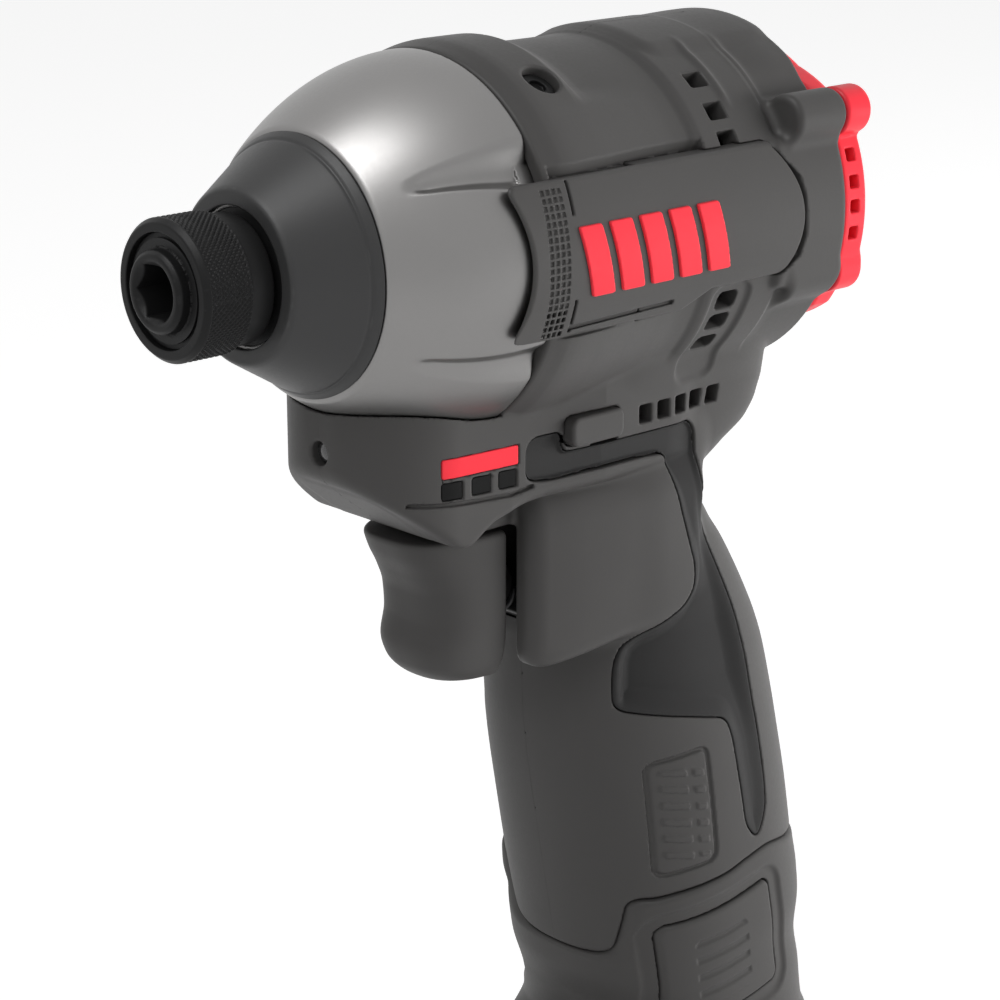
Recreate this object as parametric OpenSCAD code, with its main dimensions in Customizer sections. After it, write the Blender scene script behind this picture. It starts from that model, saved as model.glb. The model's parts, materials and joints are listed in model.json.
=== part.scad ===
// Compact impact driver: pistol-grip body, hammer mechanism, brushless motor and clip-in battery pack.
// The origin is on the output axis, level with the front of the knurled sleeve; +X runs forward along the
// axis and +Z is up.

/* [Output end] */
// Outside diameter of the knurled sleeve
sleeve_d = 18; // [17:0.1:19]
// Length of the knurled band on the sleeve
knurl_l = 7; // [5:0.1:8]
// Overall length of the sleeve
sleeve_l = 10.6; // [10:0.1:10.8]
// Size of the hex socket across its flats
hex_af = 6.45; // [6.4:0.01:6.6]
// Depth of the hex socket
hex_depth = 20; // [14:0.5:22]
// Diameter of the anvil under the sleeve
shank_d = 11.3; // [11:0.1:11.6]
// Diameter of the anvil in its bush
journal_d = 12; // [11.8:0.1:13]
// Diameter of a detent ball
ball_d = 3; // [2.8:0.1:3.2]

/* [Hammer case] */
// Diameter of the nose bumper at its front
nose_front_d = 22.7; // [21:0.1:24]
// Diameter of the nose bumper at its back
nose_back_d = 34; // [32:0.1:36]
// Length of the nose bumper
nose_l = 9.9; // [9:0.1:11]
// Diameter of the metal case where it meets the body
case_d = 50.4; // [49:0.1:51]
// Length of the visible metal dome
dome_l = 21; // [19:0.1:22]
// Diameter of the hammer
hammer_d = 37.6; // [35:0.1:38.2]
// Length of the hammer without its lugs
hammer_l = 15.2; // [13:0.1:16]
// Backward travel of the hammer
hammer_travel = 8; // [5:0.5:9]

/* [Gear train] */
// Gear module
gear_module = 0.8; // [0.78:0.01:0.82]
// Teeth on the pinion
sun_teeth = 9; // [9:3:9]
// Teeth on each planet gear
planet_teeth = 15; // [15:6:15]
// Width of the planet gears
gear_w = 6; // [5:0.1:6.2]

/* [Motor] */
// Outside diameter of the stator
stator_d = 42; // [40:0.1:42.4]
// Length of the stator stack
stack_l = 10; // [8:0.5:11]
// Diameter of the motor shaft
shaft_d = 5; // [4:0.1:5.2]
// Number of fan blades
fan_blades = 13; // [9:1:17]

/* [Body] */
// Diameter of the front band of the body
band_d = 52.2; // [51.6:0.1:54]
// Diameter of the barrel over the motor
barrel_d = 49; // [48.4:0.1:50]
// Distance from the front of the sleeve to the end of the barrel
barrel_end = 98; // [97.6:0.1:99]
// Thickness of the rear cap
cap_l = 4.4; // [4.2:0.1:6]
// Height of a side panel above the output axis
panel_high = 11.3; // [9:0.1:12]
// Depth of a side panel below the output axis
panel_low = 9; // [7:0.1:10]
// Travel of the trigger
trigger_travel = 6; // [4:0.5:6.2]
// Half width of the trigger
trigger_w = 9; // [8:0.1:9.6]
// Travel of the direction selector each way
selector_travel = 3; // [2:0.5:3]

/* [Grip] */
// Tilt of the grip from the vertical
grip_tilt = 10.6; // [10:0.1:11]
// Width of the grip at its bottom
grip_width = 40.6; // [40.2:0.1:43]
// Depth of the grip at its bottom
grip_depth = 43.2; // [42.8:0.1:46]
// Thickness of the soft grip insert
insert_t = 0.8; // [0.6:0.05:1]

/* [Battery pack] */
// Diameter of a battery cell
cell_d = 17; // [16:0.05:17.2]
// Length of a battery cell
cell_l = 50; // [46:0.5:54]
// Height of the tool from the output axis down to the table
axis_height = 146; // [144:0.5:152]
// Width of the battery foot
foot_width = 45; // [43:0.5:50]
// Forward reach of the battery foot, measured back from the front of the sleeve
foot_front = 56; // [52:0.5:58]

/* [Hidden] */
$fn = 64;

dark_plastic = [0.27, 0.27, 0.265];
rubber = [0.2, 0.2, 0.2];
black_part = [0.1, 0.1, 0.1];
red_plastic = [0.85, 0.2, 0.22];
satin_metal = [0.62, 0.62, 0.63];
steel = [0.7, 0.7, 0.72];
copper = [0.72, 0.42, 0.2];
board_green = [0.1, 0.35, 0.2];
brass = [0.8, 0.65, 0.3];

// Small fits: a seat inside one body, and a running gap between a shaft and its hole
seat = 0.05;
run = 0.05;
seam = 0.1;
press = 0.02;

// Stations along the output axis
mouth_x = 1.3;
sleeve_x = -0.2;
clip_x = -0.4;
washer_x = -0.85;
pocket_x = -5.4;
ball_x = -7;
nose_x = sleeve_x - sleeve_l - 0.4;
journal_x = nose_x - 0.2;
neck_x = nose_x - 0.8;
case_x = nose_x - nose_l;
band_x = case_x - dome_l;
ear_x = -24;
ear_back = -31;
hammer_x = ear_back - 0.3;
hammer_back = hammer_x - hammer_l;
groove_x = -38;
spigot_back = -56;
flange_x = -57;
flange_back = -60;
ring_front = flange_back;
gear_x = flange_back - 0.3;
gear_back = gear_x - gear_w;
plate_x = -67.6;
bearing_x = plate_x - 0.9;
bearing_w = 3.5;
fan_x = -72.7;
fan_back = -79;
stack_x = -83;
stack_back = stack_x - stack_l;
cap_x = -barrel_end;
cap_back = cap_x - cap_l;
board_x = cap_x + 2.1;
board_t = 1.3;

// Trigger and switch
trigger_back = -49;
switch_x = trigger_back - trigger_travel - 0.3;
plunger_z = -49.5;

// Gear sizes
ring_teeth = sun_teeth + 2 * planet_teeth;
carrier_r = gear_module * (sun_teeth + planet_teeth) / 2;
pressure_angle = 25;
pin_r = 2;
ring_rim = 3.6;
ring_r = gear_module * (ring_teeth / 2 + 1) + ring_rim;

// Radii
sleeve_r = sleeve_d / 2;
shank_r = shank_d / 2;
journal_r = journal_d / 2;
ball_r = ball_d / 2;
ball_centre = shank_r - ball_r - run;
bush_r = 8.6;
bumper_hole_r = 9;
neck_r = 10.4;
case_r = case_d / 2;
hammer_r = hammer_d / 2;
hub_r = 8;
ear_r = 15;
spindle_r = 6.4;
pilot_r = 3.5;
flange_r = 14;
flange_bearing_r = 19.55;
tail_wall = 1.85;
tail_r = ring_r + seat + tail_wall;
band_r = band_d / 2;
band_wall = 2.8;
spigot_r = band_r - band_wall;
barrel_r = barrel_d / 2;
shaft_r = shaft_d / 2;
bearing_r = 6.5;
stator_r = stator_d / 2;
rotor_r = 9;
magnet_r = 10.7;
pole_r = 11.2;
pad_r = barrel_r + 0.4;

// Grip line: the centre of the grip at a height z
grip_centre_x = -81.25;
grip_centre_z = -68;
function grip_x(z) = grip_centre_x + tan(grip_tilt) * (z - grip_centre_z);

// Basic shapes about the output axis
module x_rod(x0, x1, r) translate([min(x0, x1), 0, 0]) rotate([0, 90, 0]) cylinder(h = abs(x1 - x0), r = r);
module turned(outline) rotate([0, 90, 0]) rotate_extrude() polygon([for (p = outline) [p[1], p[0]]]);
module x_ring(x0, x1, r0, r1) turned([[x0, r0], [x1, r0], [x1, r1], [x0, r1]]);
module x_sector(x0, x1, r0, r1, a0, a1) rotate([0, 90, 0]) rotate([0, 0, a0 + 90])
    rotate_extrude(angle = a1 - a0) polygon([[r0, x0], [r1, x0], [r1, x1], [r0, x1]]);
module box(x0, x1, y0, y1, z0, z1) translate([min(x0, x1), min(y0, y1), min(z0, z1)])
    cube([abs(x1 - x0), abs(y1 - y0), abs(z1 - z0)]);
module side_shape(outline, y0, y1) translate([0, max(y0, y1), 0]) rotate([90, 0, 0])
    linear_extrude(abs(y1 - y0)) polygon(outline);
module plan_shape(outline, z0, z1) translate([0, 0, min(z0, z1)])
    linear_extrude(abs(z1 - z0)) polygon(outline);
module y_rod(x, z, y0, y1, r) translate([x, min(y0, y1), z]) rotate([-90, 0, 0])
    cylinder(h = abs(y1 - y0), r = r);
module x_rod_at(x0, x1, y, z, r) translate([0, y, z]) x_rod(x0, x1, r);
function arc(cx, cy, r, a0, a1, steps) = [for (i = [0 : steps])
    let (a = a0 + (a1 - a0) * i / steps) [cx + r * cos(a), cy + r * sin(a)]];
module half(side) intersection() {
    children();
    box(-300, 100, side * seam / 2, side * 100, -300, 100);
}

// Lofted solids from level rings, lowest ring first
function power(v, n) = sign(v) * pow(abs(v), n);
function oval(z, front, back, w, n, count) = [for (i = [0 : count - 1])
    let (a = 360 * (i + 0.5) / count)
    [(front + back) / 2 + (front - back) / 2 * power(cos(a), 2 / n), w * power(sin(a), 2 / n), z]];
module skin(rings) {
    count = len(rings[0]);
    levels = len(rings);
    faces = concat(
        [[for (i = [0 : count - 1]) i]],
        [for (k = [0 : levels - 2], i = [0 : count - 1])
            let (j = (i + 1) % count) [k * count + i, (k + 1) * count + i, (k + 1) * count + j]],
        [for (k = [0 : levels - 2], i = [0 : count - 1])
            let (j = (i + 1) % count) [k * count + i, (k + 1) * count + j, k * count + j]],
        [[for (i = [count - 1 : -1 : 0]) (levels - 1) * count + i]]);
    polyhedron(points = [for (ring = rings) for (p = ring) p], faces = faces, convexity = 6);
}

// A coil of round wire about the X axis, drawn as one tube
module coil(x0, x1, r, wire_r, turns) {
    steps = ceil(turns * 12);
    slope = (x1 - x0) / (turns * 2 * PI * r);
    norm = sqrt(1 + slope * slope);
    rings = [for (i = [0 : steps])
        let (a = 360 * turns * i / steps, x = x0 + (x1 - x0) * i / steps)
        [for (k = [0 : 5]) let (b = 60 * k, u = wire_r * cos(b), v = wire_r * sin(b))
            [x + v / norm, (r + u) * cos(a) + v * slope / norm * sin(a),
                (r + u) * sin(a) - v * slope / norm * cos(a)]]];
    skin(rings);
}

// Involute gear outline with a tooth centred on the first axis
function gear_points(teeth, addendum, dedendum, backlash) =
    let (pitch_r = gear_module * teeth / 2, base_r = pitch_r * cos(pressure_angle),
        tip_r = pitch_r + addendum, root_r = pitch_r - dedendum, start_r = max(base_r, root_r),
        half_pitch = 90 / teeth - backlash / 2 / pitch_r * 180 / PI,
        lead = tan(pressure_angle) * 180 / PI - pressure_angle,
        flank = [for (k = [0 : 4]) let (r = start_r + (tip_r - start_r) * k / 4, p = acos(base_r / r))
            [r, half_pitch + lead - (tan(p) * 180 / PI - p)]])
    [for (t = [0 : teeth - 1]) let (c = 360 * t / teeth)
        for (p = concat([[root_r, -flank[0][1] - 1]], [for (f = flank) [f[0], -f[1]]],
            [for (k = [4 : -1 : 0]) flank[k]], [[root_r, flank[0][1] + 1]]))
            p[1] == p[1] ? [p[0] * cos(c + p[1]), p[0] * sin(c + p[1])] : [0, 0]];
module gear(x0, x1, teeth, backlash) translate([min(x0, x1), 0, 0]) rotate([0, 90, 0])
    linear_extrude(abs(x1 - x0))
        polygon(gear_points(teeth, 0.75 * gear_module, 1.0 * gear_module, backlash));
function planet_yz(k) = [carrier_r * sin(120 * k), -carrier_r * cos(120 * k)];

// Outline of the metal dome between the bumper and the body
dome_steps = 7;
dome_front_r = nose_back_d / 2 + 0.3;
function dome_r(x) = let (t = (case_x - x) / dome_l)
    dome_front_r + (case_r - dome_front_r) * (1 - pow(1 - min(1, t), 1.9));
function dome_outline(grow) = [for (i = [0 : dome_steps])
    let (x = case_x - dome_l * i / dome_steps) [x, dome_r(x) + grow]];

// Screw places
cap_screw_yz = [[22.2, 13.6], [21.5, -8.3]];
boss_r = 3.4;
cap_screw_r = 1.35;
case_screw_x = -50.3;
case_screw_a = 58;
case_head_r = band_r - 1.9;
housing_screw_xz = [[-42, -34.4], [-68.5, -31.5], [-80, -32.8], [-68, -71], [-94, -62]];

module hammer_case() color(satin_metal) difference() {
    turned(concat([[neck_x, bush_r + press], [neck_x, neck_r], [case_x - seat, neck_r]],
        [for (p = dome_outline(0)) [p[0] - seat, p[1]]],
        [[band_x - seat, spigot_r], [spigot_back, spigot_r], [spigot_back, tail_r], [plate_x + seat, tail_r],
            [plate_x + seat, ring_r + seat], [ring_front + seat, ring_r + seat],
            [ring_front + seat, flange_bearing_r + seat], [flange_x + 0.1, flange_bearing_r + seat],
            [flange_x + 0.1, hammer_r + 0.6], [ear_back - 0.1, hammer_r + 0.6],
            [ear_back + 0.6, ear_r + 0.8], [ear_x + 0.3, ear_r + 0.8], [ear_x + 0.3, bush_r + press]]));
    for (side = [-1, 1]) case_screw_hole(side, 1.35);
}
module case_screw_hole(side, r) rotate([side > 0 ? case_screw_a : 180 - case_screw_a, 0, 0])
    y_rod(case_screw_x, 0, spigot_r - 2.7, band_r + 4, r);
module case_screws() color(steel) for (side = [-1, 1])
    rotate([side > 0 ? case_screw_a : 180 - case_screw_a, 0, 0]) difference() {
        union() {
            y_rod(case_screw_x, 0, spigot_r - 2.6, case_head_r, 1.3);
            y_rod(case_screw_x, 0, case_head_r, case_head_r + 1.4, 2.3);
        }
        y_rod(case_screw_x, 0, case_head_r + 0.6, case_head_r + 1.8, 1.1);
    }
module nose_bumper() color(black_part) turned([[nose_x, bumper_hole_r], [nose_x, nose_front_d / 2 - 0.4],
    [nose_x - 0.4, nose_front_d / 2], [case_x + 1.5, nose_back_d / 2 - 1], [case_x, nose_back_d / 2],
    [case_x, neck_r + seat], [neck_x + seat, neck_r + seat], [neck_x + seat, bumper_hole_r]]);
// Angles of the anvil's ears and of the hammer's lugs, which rest beside them
ear_a = 90;
ear_half_a = 18;
lug_half_a = 17;
lug_gap_a = 0.6;
lug_a = ear_a - ear_half_a - lug_gap_a - lug_half_a;
module anvil_bush() color(brass) x_ring(neck_x - 0.2, ear_x + 0.5, journal_r + run, bush_r);

module anvil() color(steel) difference() {
    union() {
        turned([[mouth_x, 0], [mouth_x, 4.7], [mouth_x - 0.5, 5.2], [clip_x, 5.2], [clip_x, 4.9],
            [clip_x - 0.4, 4.9], [clip_x - 0.4, shank_r], [journal_x, shank_r], [journal_x - 0.3, journal_r],
            [ear_x - 0.7, journal_r], [ear_x - 0.7, hub_r], [ear_back, hub_r], [ear_back, 0]]);
        for (a = [ear_a, ear_a + 180]) x_sector(ear_back, ear_x, 5, ear_r, a - ear_half_a, a + ear_half_a);
    }
    translate([-hex_depth, 0, 0]) rotate([0, 90, 0]) rotate([0, 0, 30])
        cylinder(h = hex_depth + mouth_x + 1, r = hex_af / 2 / cos(30), $fn = 6);
    turned([[mouth_x + 0.5, 0], [mouth_x + 0.5, 4.5], [mouth_x - 1.3, 2.7], [mouth_x - 1.3, 0]]);
    x_rod(ear_back - 1, ear_x - 1, pilot_r + run);
    translate([ball_x, 0, -8]) cylinder(h = 16, r = ball_r + run);
}
module sleeve_clip() color(steel) difference() {
    x_ring(clip_x - 0.02, clip_x - 0.38, 4.95, 6.5);
    box(-3, 3, -9, 0, -1, 1);
}
module sleeve_washer() color(steel) x_ring(washer_x, washer_x - 0.45, shank_r + seat, 7.15);
module sleeve_spring() color(steel) coil(washer_x - 0.85, pocket_x + 0.4, 6.45, 0.3, 3);
module chuck_sleeve() color(black_part) turned([[sleeve_x, 7.25], [sleeve_x, sleeve_r - 0.4],
    [sleeve_x - 0.4, sleeve_r], [sleeve_x - knurl_l + 0.3, sleeve_r], [sleeve_x - knurl_l, sleeve_r - 0.7],
    [sleeve_x - sleeve_l, sleeve_r - 0.7], [sleeve_x - sleeve_l, 6.6], [ball_x - 2.45, 6.6],
    [ball_x, shank_r + 0.1], [ball_x, shank_r + run], [pocket_x, shank_r + run], [pocket_x, 7.25]]);
module upper_ball() color(steel) translate([ball_x, 0, ball_centre]) sphere(r = ball_r);
module lower_ball() color(steel) translate([ball_x, 0, -ball_centre]) sphere(r = ball_r);

// Hammer mechanism
cam_x = -34.6;
cam_ball_r = 2.4;
groove_in = 9.8;
groove_out = 14.7;
washer_front = groove_x - seat;
module hammer() color(steel) difference() {
    union() {
        x_rod(hammer_x, hammer_back, hammer_r);
        for (a = [lug_a, lug_a + 180]) x_sector(hammer_x - 1, ear_x - 1,
            spindle_r + cam_ball_r + 0.25, ear_r + 0.4, a - lug_half_a, a + lug_half_a);
    }
    x_rod(hammer_back - 1, 0, spindle_r + run);
    x_ring(hammer_back - 1, groove_x, groove_in, groove_out);
    for (a = [0, 180]) x_sector(cam_x - cam_ball_r - 0.1, hammer_x + 0.2, 5, spindle_r + cam_ball_r + 0.1,
        a - 25, a + 56);
}
module spring_washer() color(steel) x_ring(washer_front, washer_front - 1.4,
    groove_in + 0.15, groove_out - 0.15);
module hammer_spring() color(steel) coil(washer_front - 2.55, flange_x + 1.15,
    (groove_in + groove_out) / 2 - 0.05, 1, 3.75);
module cam_balls() color(steel) for (s = [-1, 1])
    translate([cam_x, s * spindle_r, 0]) sphere(r = cam_ball_r);
module cam_spindle() color(steel) difference() {
    turned([[ear_x - 1.4, 0], [ear_x - 1.4, pilot_r - 0.3], [ear_x - 1.7, pilot_r], [ear_back - 0.3, pilot_r],
        [ear_back - 0.3, spindle_r - 0.3], [ear_back - 0.6, spindle_r], [flange_x, spindle_r],
        [flange_x, flange_r], [flange_back, flange_r],
        [flange_back, 5], [flange_back + 1.8, 5], [flange_back + 1.8, 0]]);
    for (k = [0 : 2])
        x_rod_at(flange_x + 1, flange_back - 1, planet_yz(k)[0], planet_yz(k)[1], pin_r + 0.02);
    for (a = [0, 180]) rotate([a, 0, 0]) {
        translate([cam_x, spindle_r, 0]) sphere(r = cam_ball_r + run);
        for (s = [-1, 1]) translate([cam_x, spindle_r, 0]) rotate([0, 0, 0]) rotate([0, -90 + s * 38, 0])
            cylinder(h = hammer_travel + 1, r = cam_ball_r - 0.1);
    }
}
module planet_pins() color(steel) for (k = [0 : 2])
    x_rod_at(flange_x - 0.3, gear_back - 0.4, planet_yz(k)[0], planet_yz(k)[1], pin_r);
module planet(k) color(steel) translate([0, planet_yz(k)[0], planet_yz(k)[1]]) rotate([120 * k, 0, 0])
    difference() {
        gear(gear_x, gear_back, planet_teeth, 0.12);
        x_rod(gear_x + 1, gear_back - 1, pin_r + run);
    }
module planet_gear_1() planet(0);
module planet_gear_2() planet(1);
module planet_gear_3() planet(2);
module ring_gear() color(steel) difference() {
    x_rod(ring_front, plate_x + 0.1, ring_r);
    translate([ring_front - 20, 0, 0]) rotate([0, 90, 0]) linear_extrude(40)
        polygon(gear_points(ring_teeth, 1.0 * gear_module, 0.75 * gear_module, -0.12));
}
module bearing(x0, x1, r0, r1) color(steel) turned([[x0, r0], [x0, r0 + (r1 - r0) * 0.28],
    [x0 - 0.4, r0 + (r1 - r0) * 0.28], [x0 - 0.4, r1 - (r1 - r0) * 0.28],
    [x0, r1 - (r1 - r0) * 0.28], [x0, r1], [x1, r1], [x1, r1 - (r1 - r0) * 0.28],
    [x1 + 0.4, r1 - (r1 - r0) * 0.28],
    [x1 + 0.4, r0 + (r1 - r0) * 0.28], [x1, r0 + (r1 - r0) * 0.28], [x1, r0]]);
module spindle_bearing() bearing(flange_x - 0.02, flange_back + 0.1, flange_r + run, flange_bearing_r);
module front_bearing() bearing(bearing_x, bearing_x - bearing_w, shaft_r + run, bearing_r);
module rear_bearing() bearing(cap_x + 0.4, cap_x + 0.4 - bearing_w, shaft_r + run, bearing_r);
module gearbox_plate() color(satin_metal) turned([[plate_x, 4.7], [plate_x, tail_r - seat],
    [plate_x - 2.8, tail_r - seat], [plate_x - 2.8, bearing_r + 1.9],
    [bearing_x - bearing_w, bearing_r + 1.9], [bearing_x - bearing_w, bearing_r + press],
    [bearing_x + seat, bearing_r + press], [bearing_x + seat, 4.7]]);

// Motor
module motor_shaft() color(steel) union() {
    gear(gear_x - 0.3, gear_back - 0.6, sun_teeth, 0.12);
    x_rod(gear_back - 0.2, cap_x - 3, shaft_r);
}
module cooling_fan() color(black_part) difference() {
    union() {
        x_rod(fan_x, fan_back, 5);
        x_rod(fan_back + 1.2, fan_back, 19.5);
        for (k = [0 : fan_blades - 1]) rotate([360 * k / fan_blades, 0, 0]) intersection() {
            rotate([18, 0, 0]) box(fan_x + 0.1, fan_back + 0.6, 8.5, 19.6, -0.6, 0.6);
            x_rod(fan_x, fan_back, 19.2);
        }
    }
    x_rod(0, -120, shaft_r + 0.02);
}
module stator_core() color(satin_metal) difference() {
    union() {
        x_ring(stack_x, stack_back, 17.6, stator_r);
        for (k = [0 : 5]) rotate([60 * k, 0, 0]) {
            box(stack_x, stack_back, 12.5, 18, -2.6, 2.6);
            x_sector(stack_x, stack_back, pole_r, 13, -24, 24);
        }
    }
    x_rod(0, -120, pole_r);
}
module stator_windings() color(copper) for (k = [0 : 5]) rotate([60 * k, 0, 0]) difference() {
    box(stack_x + 2.4, stack_back - 2.4, 13.2, 16.6, -5.2, 5.2);
    box(stack_x + 0.05, stack_back - 0.05, 12, 18, -2.65, 2.65);
}
module rotor_core() color(satin_metal) x_ring(stack_x, stack_back, shaft_r + press, rotor_r);
module rotor_magnets() color(steel) for (k = [0 : 3])
    x_sector(stack_x, stack_back, rotor_r + press, magnet_r, 90 * k + 3, 90 * k + 87);

// Rear cap
module cap_screw_places() for (side = [-1, 1]) for (p = cap_screw_yz)
    translate([0, side * p[0], p[1]]) children();
module motor_board() color(board_green) difference() {
    x_ring(board_x, board_x - board_t, 9.4, tail_r);
    cap_screw_places() x_rod(board_x + 1, board_x - board_t - 1, cap_screw_r + 0.15);
}
module rear_cap() color(red_plastic) difference() {
    union() {
        turned([[cap_x - 0.05, 0], [cap_x - 0.05, barrel_r - 0.6], [cap_back + 1.2, barrel_r - 0.6],
            [cap_back, barrel_r - 2], [cap_back, 0]]);
        cap_screw_places() x_rod(cap_x - 0.05, cap_back + 0.4, boss_r);
    }
    x_rod(cap_x + 1, cap_back + 1.2, bearing_r + press);
    x_ring(cap_x + 1, cap_back + 1.8, bearing_r + 2.1, 19.5);
    cap_screw_places() {
        x_rod(cap_x + 1, cap_back - 1, cap_screw_r + 0.15);
        x_rod(cap_back + 2.3, cap_back - 1, 2.6);
    }
    for (side = [-1, 1]) for (a = [20, 10, 0, -10]) rotate([side > 0 ? a : 180 - a, 0, 0])
        box(cap_x - 1, cap_back + 1.4, 21, 30, -1, 1);
}
module rear_cap_screws() color(steel) cap_screw_places() difference() {
    union() {
        x_rod(cap_x + 8.5, cap_back + 2.25, cap_screw_r);
        x_rod(cap_back + 2.25, cap_back + 0.7, 2.5);
    }
    x_rod(cap_back + 1.5, cap_back - 1, 1.2);
}

// Body shell
chin_front = -24;
chin_w = 13.5;
lens_r = 1.5;
lens_z = -25.1;
saddle_w = 16.5;
panel_front = -35;
panel_back = -86.5;
panel_step = -58;
panel_proud = 0.5;
panel_sink = 0.65;
panel_rear_sink = 0.8;
panel_r = band_r + panel_proud;
panel_in = band_r - panel_sink;
panel_rear_in = barrel_r - panel_rear_sink;
lip_x = -68.5;
lip_z = -107.3;
rim_z = -98.4;
// Each row: height, then front, back and width as shares of the grip's half size, then squareness
soft_n = 2.2;
grip_rows = [[-108, 1, 1, 1, soft_n], [-98, 1, 1, 1, soft_n], [-88, 1, 1, 1, soft_n],
    [-76, 0.993, 0.979, 0.985, soft_n], [-70, 0.973, 0.971, 0.96, soft_n], [-64, 0.935, 0.944, 0.94, soft_n],
    [-60, 0.914, 0.91, 0.915, soft_n], [-56, 0.893, 0.856, 0.885, soft_n], [-52, 0.873, 0.793, 0.85, soft_n],
    [-48, 0.856, 0.72, 0.81, soft_n], [-44, 0.836, 0.625, 0.77, soft_n], [-40, 0.815, 0.56, 0.75, soft_n],
    [-36, 0.785, 0.58, 0.75, soft_n], [-32, 0.75, 0.75, 0.75, 2.4], [-28, 0.72, 1.06, 0.75, 2.8],
    [-24, 0.7, 1.15, 0.77, 4], [-20, 0.7, 1.16, 0.83, 4], [-16, 0.7, 1.14, 0.88, 4]];
function grip_ring(row, inset) = oval(row[0], grip_x(row[0]) + row[1] * grip_depth / 2 - inset,
    grip_x(row[0]) - row[2] * grip_depth / 2 + inset, row[3] * grip_width / 2 - inset, row[4], 28);
module grip_form(inset) skin([for (row = grip_rows) grip_ring(row, inset)]);
saddle_plan = concat(arc(chin_front - 12, chin_w - 12, 12, 0, 90, 5), [[-60, saddle_w], [-82, saddle_w]],
    [[-82, -saddle_w], [-60, -saddle_w]], arc(chin_front - 12, 12 - chin_w, 12, -90, 0, 5));
saddle_side = [[chin_front, -14], [chin_front, -28.4], [chin_front - 1.4, -30.6], [-35.6, -37.6],
    [-38, -38.4], [-80, -38.4], [-80, -14]];
block_side = concat([[-48, -36], [-48, -56.5]], arc(-52, -56.5, 4, 0, -90, 4),
    [[-60, -61.5], [-74, -61.5], [-74, -36]]);
block_half = [[-48, 11.2], [-50, 12.4], [-64, 16], [-74, 16]];
block_plan = concat(block_half, [for (i = [3 : -1 : 0]) [block_half[i][0], -block_half[i][1]]]);
barrel_outline = [[band_x - seam, 0], [band_x - seam, band_r - 0.3], [band_x - 0.5, band_r], [-57.6, band_r],
    [-59.6, barrel_r - 0.2], [-70, barrel_r - 0.2], [-71.2, barrel_r + 0.5], [-85, barrel_r + 0.5],
    [-86.6, barrel_r], [cap_x, barrel_r], [cap_x, 0]];
bore_outline = [[band_x + 3, 0], [band_x + 3, spigot_r + seat], [spigot_back - seat, spigot_r + seat],
    [spigot_back - seat, tail_r + seat], [-83.8, tail_r + seat], [-84, stator_r + seat],
    [-86, stator_r + seat], [-86.2, tail_r + seat],
    [-89.8, tail_r + seat], [-90, stator_r + seat], [-92, stator_r + seat], [-92.2, tail_r + seat],
    [cap_x - 1, tail_r + seat], [cap_x - 1, 0]];
insert_front = [[-74, -41], [-76.8, -49.7], [-74, -54.2], [-68.2, -57.4], [-66, -60.5], [-65.2, -63.5],
    [-65.2, -67.5], [-82.6, -72.3], [-88.2, -91.8]];
insert_back = [[-91.5, -87.4], [-90.5, -66], [-88.5, -54.5], [-84.5, -49], [-79.5, -41]];
function insert_side(fit) = concat([for (p = insert_front) [p[0] - fit, p[1]]],
    [for (p = insert_back) [p[0] + fit, p[1]]]);

module body_form() {
    turned(barrel_outline);
    x_sector(cap_x, -72, barrel_r - 2, pad_r, 63, 117);
    cap_screw_places() x_rod(-87, cap_x, boss_r);
    intersection() {
        plan_shape(saddle_plan, -50, 0);
        side_shape(saddle_side, -40, 40);
    }
    intersection() {
        plan_shape(block_plan, -70, -30);
        side_shape(block_side, -20, 20);
    }
    difference() {
        grip_form(0);
        box(-200, lip_x, -60, 60, -120, rim_z);
        box(-200, 0, -60, 60, -120, lip_z);
    }
}

// Hollows of the body shell, shared by both halves
selector_tab_y = 15;
selector_tab_t = 2.5;
selector_front = -53;
selector_back = -62.6;
selector_top = -22.6;
selector_low = -26.6;
bar_front = -57.6;
bar_back = -62.2;
bar_top = -23.2;
bar_low = -27.1;
tower_wall = 0.65;
cell_pitch = cell_d + 0.4;
cell_ring = cell_pitch / sqrt(3);
function cell_place(k) = [cell_ring * cos(120 * k), cell_ring * sin(120 * k)];
module pack_frame() translate([grip_x(-100), 0, -100]) rotate([0, grip_tilt, 0]) children();
module three_lobes(z0, z1, r) translate([0, 0, z0]) linear_extrude(z1 - z0) {
    for (k = [0 : 2]) translate(cell_place(k)) circle(r = r);
    polygon([for (k = [0 : 2]) cell_place(k)]);
}
tower_top = 19;
cell_top = tower_top - 3.2;
tower_bottom = cell_top - cell_l - 0.05;
lobe_r = cell_d / 2 + 0.03 + tower_wall;
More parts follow.
